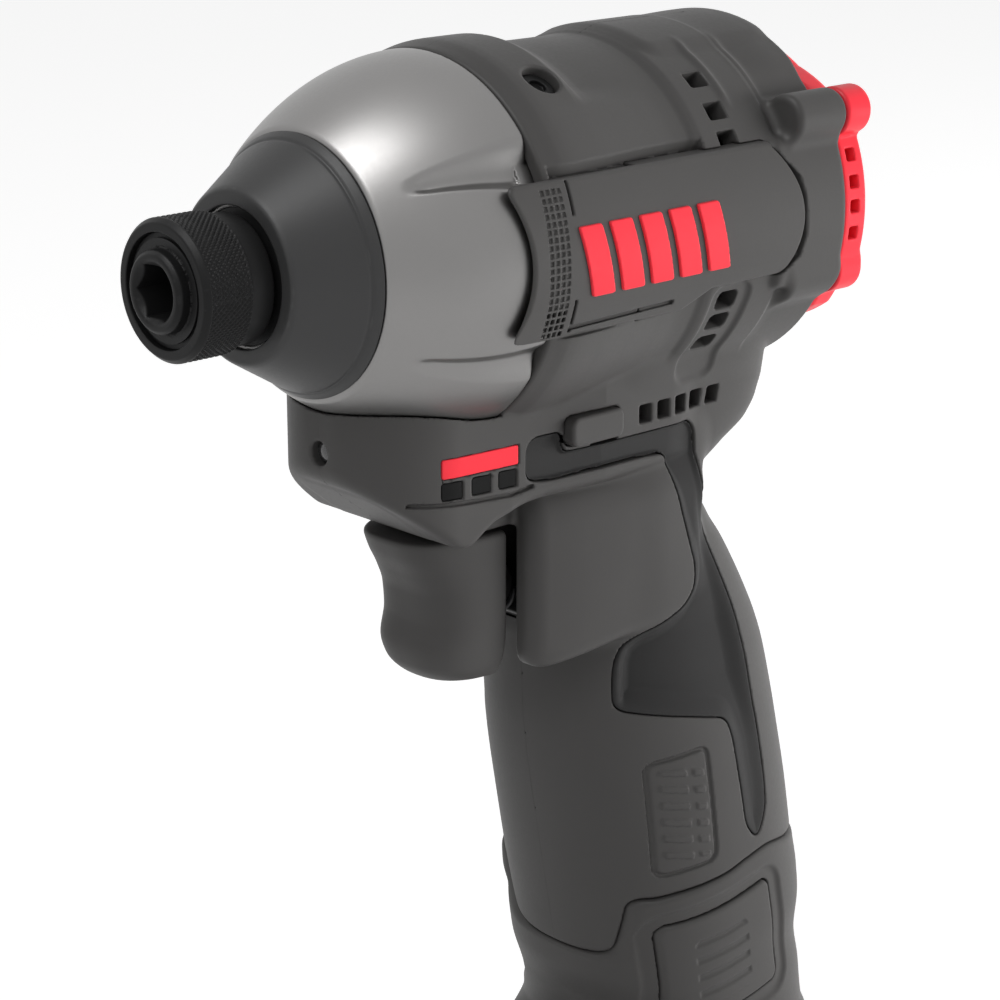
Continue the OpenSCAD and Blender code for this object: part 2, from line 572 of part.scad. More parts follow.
module body_hollows() {
    turned(bore_outline);
    turned(concat([[case_x + 4, 0], [case_x + 4, dome_front_r + 0.15]], dome_outline(0.15),
        [[band_x - seam, case_r + 0.15], [band_x - seam, 0]]));
    box(-30, -48, -trigger_w - 0.2, trigger_w + 0.2, -38.5, -67);
    box(-45, switch_x - 0.1, -trigger_w - 0.2, trigger_w + 0.2, -37.6, -67);
    box(switch_x + seat, -78, -10.05, 10.05, -36.95, -58.05);
    box(-77, -79.65, -10.05, 10.05, -35.9, -66.45);
    pack_frame() three_lobes(-60, tower_top + 0.6, lobe_r + 0.2);
    box(-76, -92, -9.05, 9.05, -66, -83);
    x_rod_at(chin_front + 1, chin_front - 4.6, 0, lens_z, lens_r + seat);
    box(chin_front - 2.2, chin_front - 4.6, -5.05, 5.05, -29.6, -21.4);
    box(bar_front + seam, bar_back - seam, -30, 30, bar_low - seam, bar_top + seam);
    for (side = [-1, 1]) box(selector_front + seam, selector_back - seam,
        side * (selector_tab_y - selector_travel - 0.2), side * 30, selector_low - seam, selector_top + seam);
    box(-57.9, -62.1, -6, 6, bar_low + 0.5, -37);
    for (side = [-1, 1]) case_screw_hole(side, 1.35);
    for (side = [-1, 1]) rotate([side > 0 ? case_screw_a : 180 - case_screw_a, 0, 0])
        y_rod(case_screw_x, 0, case_head_r - seat, band_r + 4, 2.6);
    cap_screw_places() x_rod(cap_x + 9, cap_x - 1, cap_screw_r + seat);
    for (side = [-1, 1]) for (a = [29, 39, 51, -24, -32, -41]) rotate([side > 0 ? a : 180 - a, 0, 0])
        box(-74, -79, 18, 30, -1.3, 1.3);
    for (side = [-1, 1]) for (k = [0 : 4])
        box(-65.5 - 4.75 * k, -67.9 - 4.75 * k, side * 11, side * 20, -24.6, -27.4);
    for (side = [-1, 1]) panel_pocket(side);
    for (p = housing_screw_xz) y_rod(p[0], p[1], -30, 12, 1.45);
    for (p = housing_screw_xz) y_rod(p[0], p[1], -30, -11, 2.9);
}
module panel_pocket(side) intersection() {
    union() {
        x_ring(panel_front, panel_back - seat, panel_in - seat, 40);
        x_ring(panel_step + seat, panel_back - seat, panel_rear_in - seat, 40);
    }
    box(panel_front, panel_back - seat, side * 15, side * 40, -panel_low - seat, panel_high + seat);
}
module insert_pocket(side, inset) difference() {
    side_shape(insert_side(0), side * 4, side * 40);
    grip_form(inset);
}
module housing_half(side) color(dark_plastic) difference() {
    half(side) body_form();
    body_hollows();
    insert_pocket(side, insert_t + 0.05);
    if (side > 0) gauge_places(0.05);
}
module left_housing() housing_half(1);
module right_housing() housing_half(-1);
module grip_insert(side) color(rubber) intersection() {
    difference() {
        grip_form(0);
        grip_form(insert_t);
    }
    side_shape(insert_side(seat), side * 4, side * 40);
}
module left_grip() grip_insert(1);
module right_grip() grip_insert(-1);
module side_panel(side) color(dark_plastic) intersection() {
    union() {
        x_ring(panel_front, panel_back, panel_in, panel_r);
        x_ring(panel_step, panel_back, panel_rear_in, panel_r);
    }
    box(panel_front, panel_back, side * 15, side * 40, -panel_low, panel_high);
}
module left_side_panel() side_panel(1);
module right_side_panel() side_panel(-1);
module housing_screws() color(steel) for (p = housing_screw_xz) difference() {
    union() {
        y_rod(p[0], p[1], -11.05, 10.5, 1.4);
        y_rod(p[0], p[1], -11.05, -13, 2.7);
    }
    y_rod(p[0], p[1], -12.1, -14, 1.4);
}

// Lamp, gauge and electronics
gauge_x = [-34.6, -39.6, -44.3];
module gauge_places(grow) {
    for (x = gauge_x) box(x - 1.7 - grow, x + 1.7 + grow, 12, 20, -31 - grow, -27.6 + grow);
    box(-32.5 + grow, -46 - grow, 12.9 - grow, 20, -27.4 + 0.3 - grow, -25 + grow);
}
module led_lens() color([0.9, 0.9, 0.85]) union() {
    x_rod_at(chin_front - 0.6, chin_front - 2.15, 0, lens_z, lens_r);
}
module led_board() color(board_green) box(chin_front - 2.25, chin_front - 3.8, -5, 5, -29.5, -21.5);
// Half width of the chin beside the gauge
function chin_y(x) = chin_w + max(0, chin_front - 12 - x) * (saddle_w - chin_w) / 24;
module gauge_windows() color(black_part) for (x = gauge_x)
    box(x - 1.7, x + 1.7, 12.05, chin_y(x) + 0.1, -31, -27.6);
module gauge_label() color(red_plastic) plan_shape([[-32.5, 12.95], [-32.5, chin_y(-32.5) + 0.1],
    [chin_front - 12, chin_y(-36) + 0.1], [-46, chin_y(-46) + 0.1], [-46, 12.95]], -27.1, -25);
module switch_body() color(black_part) difference() {
    box(switch_x, -77.9, -10, 10, -37, -58);
    x_rod_at(-50, switch_x - 10, 0, plunger_z, 3 + run);
    box(-57.8, -62.2, -5.5, 5.5, -36, -39.2);
}
module control_board() color(board_green) box(-78, -79.6, -10, 10, -36, -66.4);
blade_front = -79;
blade_back = -88;
blade_low = -82;
blade_t = 0.8;
blade_y = [-6, -2, 2, 6];
module terminal_block() color(black_part) union() {
    box(-76.05, -91.95, -9, 9, -66.6, -72);
    for (s = blade_y) box(blade_front, blade_back, s - blade_t / 2, s + blade_t / 2, -71, blade_low);
}
// Each row: height, front edge and half width of the trigger
trigger_rows = [[-60.3, -42, 0.5], [-59.2, -39.8, 0.72], [-57.3, -38, 0.9], [-55, -37.6, 0.98],
    [-51, -38.9, 1], [-47.5, -38.5, 1], [-44.5, -37.3, 1], [-41.5, -35.5, 1], [-38.9, -34.3, 1]];
module trigger() color(dark_plastic) union() {
    difference() {
        skin([for (row = trigger_rows)
            oval(row[0], row[1], 2 * trigger_back - row[1], row[2] * trigger_w, 2.2, 24)]);
        box(trigger_back, -80, -30, 30, -80, -20);
        x_rod_at(-43.2, -60, 0, plunger_z, 5.4);
    }
    x_rod_at(-42.5, switch_x - 2, 0, plunger_z, 3);
}
module trigger_spring() color(steel) translate([0, 0, plunger_z])
    coil(-43.65, switch_x + 0.45, 4.2, 0.4, 5);
module selector_slide() color(black_part) union() {
    box(bar_front, bar_back, -selector_tab_y - 0.5, selector_tab_y + 0.5, bar_low, bar_top);
    for (side = [-1, 1]) box(selector_front, selector_back, side * selector_tab_y,
        side * (selector_tab_y + selector_tab_t), selector_low, selector_top);
    translate([-60, 0, -38]) cylinder(h = bar_low + 1 + 38, r = 1.6);
}

// Battery pack
foot_z = -axis_height;
// Each row: height, front edge, back edge and half width of the battery foot
base_rows = [[foot_z, -foot_front - 2.5, -113.4, foot_width / 2 - 1.8],
    [foot_z + 2, -foot_front, -115.4, foot_width / 2 - 0.2],
    [-137.5, -foot_front - 0.2, -115.2, foot_width / 2], [-132.5, -60, -114, 21.8],
    [-128.5, -67.4, -112.6, 21.1], [-124, -71.6, -110.2, 20.6], [-118, -70.8, -109.5, 20.4],
    [-112, -68.2, -108.4, 20.4], [-106, -66.8, -108.9, 20.7], [-102, -66, -108.6, 20.6],
    [rim_z - 0.2, -65.5, -107.6, 20.4]];
module base_form(inset) skin([for (row = base_rows)
    oval(row[0], row[1] - inset, row[2] + inset, row[3] - inset, 2.4, 28)]);
button_t = 2.2;
button_front = -74.2;
button_hinge_x = -90.8;
button_top = -103.6;
button_low = -118.8;
spring_x = -79;
spring_z = -111;
module battery_tower() color(black_part) difference() {
    pack_frame() difference() {
        three_lobes(tower_bottom, tower_top, lobe_r);
        for (k = [0 : 2]) translate(cell_place(k)) translate([0, 0, tower_bottom - 1])
            cylinder(h = tower_top - tower_bottom - 0.6, r = cell_d / 2 + 0.03);
    }
    for (s = blade_y) box(blade_front + 1.5, blade_back - 1.5, s - blade_t, s + blade_t, -76, blade_low - 4);
}
module battery_cells() color([0.25, 0.45, 0.6]) pack_frame() for (k = [0 : 2]) translate(cell_place(k))
    translate([0, 0, cell_top - cell_l]) cylinder(h = cell_l, r = cell_d / 2);
module battery_contacts() color(brass) pack_frame() for (k = [0 : 2]) translate(cell_place(k))
    translate([0, 0, cell_top + 0.05]) cylinder(h = 1.4, r = cell_d / 2 - 1.5);
module battery_board() color(board_green) pack_frame() translate([0, 0, tower_bottom - 1.7])
    linear_extrude(1.6) circle(r = 15);
module battery_base() color(dark_plastic) difference() {
    base_form(0);
    box(0, lip_x - 0.2, -60, 60, lip_z - 0.2, 0);
    pack_frame() three_lobes(tower_bottom, 60, lobe_r + 0.03);
    pack_frame() translate([0, 0, tower_bottom - 1.75]) linear_extrude(2.5) circle(r = 15.05);
    for (side = [-1, 1]) button_pocket(side);
}
module button_pocket(side) {
    difference() {
        box(button_front + 0.2, button_hinge_x - 0.5, side * 8.9, side * 40,
            button_top + 0.2, button_low - 0.2);
        base_form(button_t + 0.7);
    }
    difference() {
        box(button_front + 0.2, button_hinge_x + 4.5, side * 8.9, side * 40,
            button_top + 0.2, button_low - 0.2);
        base_form(button_t + 2);
    }
    y_rod(spring_x, spring_z, side * 10.9, side * 20, 2.9);
}
module button(side) color(dark_plastic) intersection() {
    difference() {
        base_form(0);
        base_form(button_t);
    }
    box(button_front, button_hinge_x, side * 10.8, side * 40, button_top, button_low);
}
module left_button() button(1);
module right_button() button(-1);
module button_spring(side) color(steel) translate([spring_x, 0, spring_z]) rotate([0, 0, side * 90])
    coil(11.3, 14.5, 2, 0.3, 3.5);
module left_button_spring() button_spring(1);
module right_button_spring() button_spring(-1);

left_housing();
right_housing();
hammer_case();
nose_bumper();
rear_cap();
rear_cap_screws();
case_screws();
housing_screws();
left_side_panel();
right_side_panel();
left_grip();
right_grip();
led_lens();
led_board();
gauge_windows();
gauge_label();
control_board();
switch_body();
terminal_block();
stator_core();
stator_windings();
motor_board();
front_bearing();
rear_bearing();
ring_gear();
gearbox_plate();
spindle_bearing();
anvil_bush();
rotor_core();
rotor_magnets();
motor_shaft();
cooling_fan();
cam_spindle();
planet_pins();
cam_balls();
planet_gear_1();
planet_gear_2();
planet_gear_3();
spring_washer();
hammer();
hammer_spring();
anvil();
sleeve_clip();
sleeve_washer();
sleeve_spring();
chuck_sleeve();
upper_ball();
lower_ball();
trigger();
trigger_spring();
selector_slide();
battery_tower();
battery_base();
battery_cells();
battery_contacts();
battery_board();
left_button();
right_button();
left_button_spring();
right_button_spring();
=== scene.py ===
"""Looks for the compact impact driver: shells sculpted as distance fields, materials, light and camera.

Sizes in the fields are millimetres in the part's own frame; meshes are made in metres.
"""

import json
import math

import bpy
import numpy as np
import openvdb
from mathutils import Matrix, Vector


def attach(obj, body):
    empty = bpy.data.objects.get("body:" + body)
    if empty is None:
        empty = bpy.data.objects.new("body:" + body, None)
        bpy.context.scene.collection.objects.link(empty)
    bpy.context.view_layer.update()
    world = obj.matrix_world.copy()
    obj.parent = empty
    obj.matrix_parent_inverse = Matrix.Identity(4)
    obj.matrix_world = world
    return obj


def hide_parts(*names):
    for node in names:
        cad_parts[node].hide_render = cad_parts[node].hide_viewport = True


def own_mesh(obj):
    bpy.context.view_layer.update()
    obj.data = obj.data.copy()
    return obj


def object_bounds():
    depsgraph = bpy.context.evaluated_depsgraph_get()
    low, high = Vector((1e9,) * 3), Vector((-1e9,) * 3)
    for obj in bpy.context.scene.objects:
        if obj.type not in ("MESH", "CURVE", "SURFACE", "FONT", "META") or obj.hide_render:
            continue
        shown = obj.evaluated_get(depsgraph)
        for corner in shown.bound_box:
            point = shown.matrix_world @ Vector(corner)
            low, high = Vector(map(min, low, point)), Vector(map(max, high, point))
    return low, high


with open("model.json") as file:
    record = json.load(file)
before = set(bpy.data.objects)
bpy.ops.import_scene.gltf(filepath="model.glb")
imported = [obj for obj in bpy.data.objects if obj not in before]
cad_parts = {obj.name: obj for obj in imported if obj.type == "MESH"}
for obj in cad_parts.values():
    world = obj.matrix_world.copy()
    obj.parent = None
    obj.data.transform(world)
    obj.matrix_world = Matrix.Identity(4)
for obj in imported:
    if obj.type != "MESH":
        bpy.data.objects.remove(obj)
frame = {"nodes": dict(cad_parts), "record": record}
cad_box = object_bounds()
record = frame["record"]
MM = 0.001


# Fields: negative inside, distances in millimetres
def soft_min(a, b, k):
    h = np.clip(0.5 + 0.5 * (b - a) / k, 0.0, 1.0)
    return b + (a - b) * h - k * h * (1.0 - h)


def soft_max(a, b, k):
    return -soft_min(-a, -b, k)


def carve(a, b, k):
    return soft_max(a, -b, k)


def band(v, low, high):
    return np.maximum(low - v, v - high)


def rect(u, v, u0, u1, v0, v1, r):
    du = np.abs(u - (u0 + u1) / 2) - (u1 - u0) / 2 + r
    dv = np.abs(v - (v0 + v1) / 2) - (v1 - v0) / 2 + r
    outside = np.hypot(np.maximum(du, 0.0), np.maximum(dv, 0.0))
    return outside + np.minimum(np.maximum(du, dv), 0.0) - r


def block(x, y, z, x0, x1, y0, y1, z0, z1, r):
    return soft_max(rect(x, z, x0, x1, z0, z1, r), band(y, y0, y1), max(r, 0.05))


def path(u, v, points):
    best = None
    for (au, av), (bu, bv) in zip(points[:-1], points[1:]):
        eu, ev = bu - au, bv - av
        t = np.clip(((u - au) * eu + (v - av) * ev) / (eu * eu + ev * ev), 0.0, 1.0)
        d = np.hypot(u - au - t * eu, v - av - t * ev)
        best = d if best is None else np.minimum(best, d)
    return best


def outline(u, v, points):
    ring = list(points) + [points[0]]
    inside = np.zeros(np.broadcast(u, v).shape, bool)
    for (au, av), (bu, bv) in zip(ring[:-1], ring[1:]):
        if av == bv:
            continue
        crosses = (av > v) != (bv > v)
        inside = inside ^ (crosses & (u < (bu - au) * (v - av) / (bv - av) + au))
    return np.where(inside, -1.0, 1.0) * path(u, v, ring)


def rounded(points, radius, steps=4):
    """The closed outline with each corner replaced by a small curve."""
    out = []
    n = len(points)
    for k in range(n):
        p = np.array(points[k], float)
        a = np.array(points[k - 1], float) - p
        b = np.array(points[(k + 1) % n], float) - p
        la, lb = np.linalg.norm(a), np.linalg.norm(b)
        size = min(radius, la * 0.45, lb * 0.45)
        start, end = p + a / la * size, p + b / lb * size
        for s in range(steps + 1):
            t = s / steps
            out.append(tuple((1 - t) ** 2 * start + 2 * t * (1 - t) * p + t * t * end))
    return out


class Sheet:
    """The distance to a flat outline, worked out once on a fine grid and looked up."""

    def __init__(self, points, margin=4.0, step=0.12):
        low = np.min(points, axis=0) - margin
        high = np.max(points, axis=0) + margin
        self.low, self.step = low, step
        u = np.arange(low[0], high[0], step)
        v = np.arange(low[1], high[1], step)
        self.table = outline(u[:, None], v[None, :], points)

    def __call__(self, u, v):
        rows, columns = self.table.shape
        i = np.clip((u - self.low[0]) / self.step, 0, rows - 1.01)
        j = np.clip((v - self.low[1]) / self.step, 0, columns - 1.01)
        a, b = i.astype(int), j.astype(int)
        s, t = i - a, j - b
        t0, t1 = self.table[a, b], self.table[a + 1, b]
        t2, t3 = self.table[a, b + 1], self.table[a + 1, b + 1]
        return (t0 * (1 - s) + t1 * s) * (1 - t) + (t2 * (1 - s) + t3 * s) * t


def smooth_step(t):
    t = np.clip(t, 0.0, 1.0)
    return t * t * (3 - 2 * t)


def engrave(f, mask, depth, k):
    """Lowers the surface by depth where mask is negative."""
    return soft_max(f, -soft_max(mask, -(f + depth), k), k)


def emboss(f, mask, height, k):
    """Raises the surface by height where mask is negative."""
    return soft_min(f, soft_max(f - height, mask, k), k)


def smooth_curve(points, step=0.25):
    """A smooth curve through points, as dense values for lookup."""
    u = np.array([p[0] for p in points], float)
    v = np.array([p[1] for p in points], float)
    slope = np.diff(v) / np.diff(u)
    m = np.zeros(len(u))
    m[0], m[-1] = slope[0], slope[-1]
    for i in range(1, len(u) - 1):
        if slope[i - 1] * slope[i] > 0:
            w0 = 2 * (u[i + 1] - u[i]) + u[i] - u[i - 1]
            w1 = u[i + 1] - u[i] + 2 * (u[i] - u[i - 1])
            m[i] = (w0 + w1) / (w0 / slope[i - 1] + w1 / slope[i])
    dense = np.arange(u[0], u[-1] + step / 2, step)
    i = np.clip(np.searchsorted(u, dense, side="right") - 1, 0, len(u) - 2)
    h = u[i + 1] - u[i]
    t = (dense - u[i]) / h
    value = (v[i] * (1 + 2 * t) * (1 - t) ** 2 + m[i] * h * t * (1 - t) ** 2
             + v[i + 1] * t * t * (3 - 2 * t) + m[i + 1] * h * t * t * (t - 1))
    return dense, value


def curve_at(u, table):
    return np.interp(u, table[0], table[1])


class Loft:
    """Level sections given as rows of height, front, back, half width and squareness."""

    def __init__(self, rows):
        rows = sorted(rows)
        self.tables = [smooth_curve([(row[0], row[k]) for row in rows]) for k in range(1, 5)]

    def __call__(self, x, y, z):
        front, back, width, n = (curve_at(z, t) for t in self.tables)
        centre = (front + back) / 2
        u = np.abs(x - centre) / ((front - back) / 2)
        v = np.abs(y) / width
        share = np.maximum(u ** n + v ** n, 1e-9) ** (1 / n)
        rho = np.hypot(x - centre, y)
        return rho - rho / np.maximum(share, 1e-4)


# Meshing
def probe(field, p):
    h = 0.03
    x, y, z = p[:, 0], p[:, 1], p[:, 2]
    gx = field(x + h, y, z) - field(x - h, y, z)
    gy = field(x, y + h, z) - field(x, y - h, z)
    gz = field(x, y, z + h) - field(x, y, z - h)
    return field(x, y, z), np.stack([gx, gy, gz], 1) / (2 * h)


def settle(field, p, limit):
    for _ in range(2):
        value, slope = probe(field, p)
        size = np.maximum((slope ** 2).sum(1), 0.15)
        shift = -(value / size)[:, None] * slope
        length = np.maximum(np.linalg.norm(shift, axis=1), 1e-9)
        p = p + shift * np.minimum(1.0, limit / length)[:, None]
    return p, probe(field, p)[1]


def mesh_object(name, points, faces, normals=None):
    mesh = bpy.data.meshes.new(name)
    mesh.vertices.add(len(points))
    mesh.vertices.foreach_set("co", (points * MM).astype(np.float32).ravel())
    corners = faces.shape[1]
    mesh.loops.add(faces.size)
    mesh.loops.foreach_set("vertex_index", faces.astype(np.int32).ravel())
    mesh.polygons.add(len(faces))
    mesh.polygons.foreach_set("loop_start", np.arange(0, faces.size, corners, dtype=np.int32))
    mesh.polygons.foreach_set("use_smooth", np.ones(len(faces), bool))
    mesh.update(calc_edges=True)
    mesh.validate()
    if normals is not None:
        mesh.normals_split_custom_set_from_vertices(normals.tolist())
    obj = bpy.data.objects.new(name, mesh)
    bpy.context.scene.collection.objects.link(obj)
    return obj


def sample(field, axes, step):
    """Field values on a grid, worked out finely only near the surface."""
    every = 3
    x, y, z = axes
    wide = field(x[::every, None, None], y[None, ::every, None], z[None, None, ::every])
    wide = np.broadcast_to(wide, [len(a[::every]) for a in axes])
    nearest = [np.minimum((np.arange(len(a)) + 1) // every, len(a[::every]) - 1) for a in axes]
    values = np.clip(wide, -3 * step, 3 * step)[np.ix_(*nearest)]
    near = (np.abs(wide) < 6.5 * step)[np.ix_(*nearest)]
    i, j, k = np.nonzero(near)
    chunk = 300000
    for start in range(0, len(i), chunk):
        part = slice(start, start + chunk)
        exact = field(x[i[part]], y[j[part]], z[k[part]])
        values[i[part], j[part], k[part]] = np.clip(exact, -3 * step, 3 * step)
    return values


def to_joint(points, skin, joint, step):
    """Puts points that lie near both the skin and the joint's plane on the edge between them."""
    near = (np.abs(points[:, 1] - joint) < 0.7 * step) & (np.abs(probe(skin, points)[0]) < 0.5 * step)
    edge = points[near]
    edge[:, 1] = joint
    for _ in range(3):
        value, slope = probe(skin, edge)
        slope[:, 1] = 0
        size = np.maximum((slope ** 2).sum(1), 0.2)
        edge = edge - np.clip(value / size, -step, step)[:, None] * slope
    points[near] = edge
    return points


def sculpt(name, field, low, high, step, skin=None, joint=0.0):
    """A closed mesh of the field's zero surface inside the box from low to high.

    Where a skin field is given, its surface is shaded by it alone, so that the flush joint
    at y = joint doesn't show.
    """
    counts = [int(math.ceil((b - a) / step)) + 3 for a, b in zip(low, high)]
    start = np.array(low, float) - step
    values = sample(field, [start[i] + step * np.arange(counts[i]) for i in range(3)], step)
    grid = openvdb.FloatGrid()
    grid.background = 3 * step
    grid.copyFromArray(np.ascontiguousarray(values, dtype=np.float32))
    points, quads = grid.convertToQuads(0.0)
    points = points.astype(float) * step + start
    points, slope = settle(field, points, step)
    length = np.maximum(np.linalg.norm(slope, axis=1), 1e-6)
    normals = slope / length[:, None]
    if skin is not None:
        points = to_joint(points, skin, joint, step)
        value, slope = probe(skin, points)
        length = np.maximum(np.linalg.norm(slope, axis=1), 1e-6)
        normals = np.where((np.abs(value) < 0.1)[:, None], slope / length[:, None], normals)
    a, b, c = points[quads[:, 0]], points[quads[:, 1]], points[quads[:, 2]]
    facing = (np.cross(b - a, c - a) * normals[quads[:, 0]]).sum()
    if facing < 0:
        quads = quads[:, ::-1]
    return mesh_object(name, points, quads, normals)


# Shared sizes, as in the part
GRIP_TILT = math.radians(10.6)
GRIP_AXIS = (-81.25, -68.0)
GRIP_HALF_DEPTH = 21.6
GRIP_HALF_WIDTH = 20.3
PACK_TOP = -100.0
CELL_PITCH = 17.4
SEAM = 0.02
CASE_SCREW_X = -50.3
CASE_SCREW_LEAN = (0.53, 0.848)
LAMP_Z = -25.1
SPIGOT_END = -56.05
SPIGOT_BORE = 23.35
MOTOR_BORE = 21.95
TOWER_CELL = 9.21
TOWER_ROOM = 9.38
CAP_X = -97.0
CAP_BACK = -102.4
BOSSES = ((22.2, 13.6), (21.5, -8.3))
TRIGGER_BACK = -49.0
SWITCH_X = -55.3
PLUNGER_Z = -49.5


def grip_x(z):
    return GRIP_AXIS[0] + math.tan(GRIP_TILT) * (z - GRIP_AXIS[1])


def grip_row(z, front, back, width, n):
    """A level section of the handle from shares of its full depth and width."""
    centre = grip_x(z)
    return z, centre + front * GRIP_HALF_DEPTH, centre - back * GRIP_HALF_DEPTH, width * GRIP_HALF_WIDTH, n


PACK_ORIGIN = (grip_x(PACK_TOP), PACK_TOP)
grip_form = Loft([grip_row(*row) for row in (
    (-112, 1, 1, 1, 2.2), (-98, 1, 1, 1, 2.2), (-88, 1, 1, 1, 2.2), (-76, 0.993, 0.979, 0.985, 2.2),
    (-70, 0.973, 0.971, 0.96, 2.2), (-64, 0.935, 0.944, 0.94, 2.2), (-60, 0.914, 0.91, 0.915, 2.2),
    (-56, 0.893, 0.856, 0.885, 2.2), (-52, 0.873, 0.793, 0.85, 2.2), (-48, 0.856, 0.72, 0.81, 2.2),
    (-44, 0.836, 0.625, 0.77, 2.2), (-40, 0.815, 0.57, 0.75, 2.2), (-36, 0.785, 0.63, 0.75, 2.2),
    (-33, 0.76, 0.83, 0.75, 2.5), (-30, 0.735, 1.05, 0.75, 3), (-27, 0.715, 1.12, 0.75, 3.6),
    (-24, 0.7, 1.15, 0.77, 4), (-20, 0.7, 1.16, 0.83, 4), (-14, 0.7, 1.14, 0.9, 4))])

base_form = Loft((
    (-146, -58.5, -113.4, 20.7, 2.4), (-144, -56, -115.05, 22.3, 2.4), (-137.5, -56.2, -115.0, 22.5, 2.4),
    (-132.5, -60, -114, 21.8, 2.4), (-128.5, -67.4, -112.6, 21.1, 2.4), (-124, -70.9, -110.2, 20.6, 2.4),
    (-118, -69.8, -109.5, 20.4, 2.4), (-112, -67.8, -108.4, 20.4, 2.4), (-106, -66.8, -108.9, 20.7, 2.4),
    (-102, -66, -108.6, 20.6, 2.4), (-96, -65.3, -107.4, 20.4, 2.4), (-90, -63.9, -106.8, 20.3, 2.4)))

# Side outlines of the soft insert and the ribbed plate
INSERT = Sheet(rounded((
    (-46.4, -24.4), (-52.6, -24.4), (-52.6, -27.3), (-63.2, -27.3), (-76.8, -27.4), (-78.2, -28.8),
    (-78.6, -34.2), (-80.0, -39.8), (-81.5, -45.2), (-83.4, -50.2), (-85.6, -56.3), (-87.0, -62.9),
    (-88.4, -70.7), (-89.5, -76.5), (-90.8, -83.9), (-91.0, -88.6), (-88.8, -92.4), (-86.2, -89.5),
    (-84.6, -81.9), (-83.2, -75.3), (-82.0, -71.7), (-75.1, -70.0), (-69.5, -68.9), (-65.4, -68.0),
    (-65.2, -64.4), (-65.3, -60.7), (-66.0, -58.2), (-67.8, -56.5), (-71.2, -55.2), (-74.6, -53.5),
    (-76.6, -51.2), (-77.0, -48.2), (-75.7, -43.7), (-73.8, -38.2), (-72.4, -32.8), (-71.2, -31.0),
    (-66.6, -30.7), (-57.4, -30.7), (-50.0, -30.8), (-46.4, -30.2)), 2.4, 6))
PLATE = Sheet(rounded(((-68.4, -76.0), (-78.3, -74.3), (-81.1, -93.3), (-71.4, -95.2)), 2.2, 6))

# Angles of the barrel's vents, and places and seats of the body screws
VENTS_UP = (29, 39, 51)
VENTS_LOW = (-22.5, -31, -40.5)
HOUSING_SCREWS = ((-42, -34.4, 7.2), (-68.5, -31.5, 11), (-80, -32.8, 11), (-68, -71, 10.2), (-94, -62, 9.0))

# Edges of the block behind the trigger and of the chin, then the barrel's radius along its side and top
block_curve = smooth_curve((
    (-84, 17.0), (-72, 17.3), (-66, 16.7), (-58, 15.2), (-52, 13.4), (-48, 12.0)))
block_low = smooth_curve((
    (-84, -51.5), (-76, -53.0), (-70, -54.8), (-62, -57.0), (-50, -58.8), (-40, -59.0)))
chin_low = smooth_curve((
    (-60, -33.4), (-48, -33.6), (-42, -34.8), (-36.5, -38.0), (-34, -38.4), (-20, -38.4)))
rear_points = ((-110, 24.5), (-98, 24.5), (-88, 24.5), (-86.2, 24.6), (-85.2, 25.0), (-80, 25.0),
               (-79.2, 25.0), (-72.4, 25.0), (-71.4, 24.8), (-70.2, 24.4), (-68, 24.35))
lip_points = ((-47, 26.06), (-45.8, 26.0), (-43.4, 25.5), (-42.15, 25.25), (-38, 25.2))
side_points = ((-64, 24.6), (-58, 25.2), (-52, 25.8))
top_points = ((-60, 24.4), (-57, 24.5), (-55.2, 24.85), (-53.6, 25.8), (-52.6, 26.05))
barrel_curve = smooth_curve(rear_points + side_points + lip_points)
top_curve = smooth_curve(rear_points + top_points + lip_points)


def about_axis(y, z):
    return np.hypot(y, z), np.degrees(np.arctan2(z, y))


def pack_axes(x, z):
    dx, dz = x - PACK_ORIGIN[0], z - PACK_ORIGIN[1]
    c, s = math.cos(GRIP_TILT), math.sin(GRIP_TILT)
    return dx * c - dz * s, dx * s + dz * c


def lobes(x, y, z, r):
    """The three-cell section of the battery tower, in the pack's tilted axes."""
    u, w = pack_axes(x, z)
    ring = CELL_PITCH / math.sqrt(3)
    best = np.maximum(np.maximum(-u - ring / 2, 0.5 * u + 0.866 * np.abs(y) - ring / 2), -8.0)
    for k in range(3):
        a = 2 * math.pi * k / 3
        best = np.minimum(best, np.hypot(u - ring * math.cos(a), y - ring * math.sin(a)) - r)
    return best, w


def boss_rods(x, y, z, r, x0, x1, k):
    best = None
    for by, bz in BOSSES:
        rod = soft_max(np.hypot(y - by, z - bz) - r, band(x, x1, x0), k)
        best = rod if best is None else np.minimum(best, rod)
    return best


def screw_axes(x, y, z):
    """Distances off and along the axis of the screw that holds the metal case."""
    side, up = CASE_SCREW_LEAN
    return np.hypot(x - CASE_SCREW_X, np.abs(y) * up - z * side), np.abs(y) * side + z * up


def screw_field(x, y, z):
    off, out = screw_axes(x, y, z)
    head = soft_max(off - 2.3, band(out, 23.9, 24.8), 0.15)
    shank = np.maximum(off - 1.3, band(out, 20.8, 24))
    return carve(np.minimum(head, shank), np.maximum(off - 1.15, 24.2 - out), 0.1)


def housing_screw_field(x, y, z):
    best = None
    for sx, sz, seat in HOUSING_SCREWS:
        off = np.hypot(x - sx, z - sz)
        head = soft_max(off - 2.7, band(-y, seat + 0.05, seat + 1.65), 0.2)
        head = carve(head, np.maximum(off - 1.4, seat + 0.8 + y), 0.1)
        shank = np.maximum(off - 1.4, band(-y, -10.5, seat + 0.4))
        screw = np.minimum(head, shank)
        best = screw if best is None else np.minimum(best, screw)
    return best


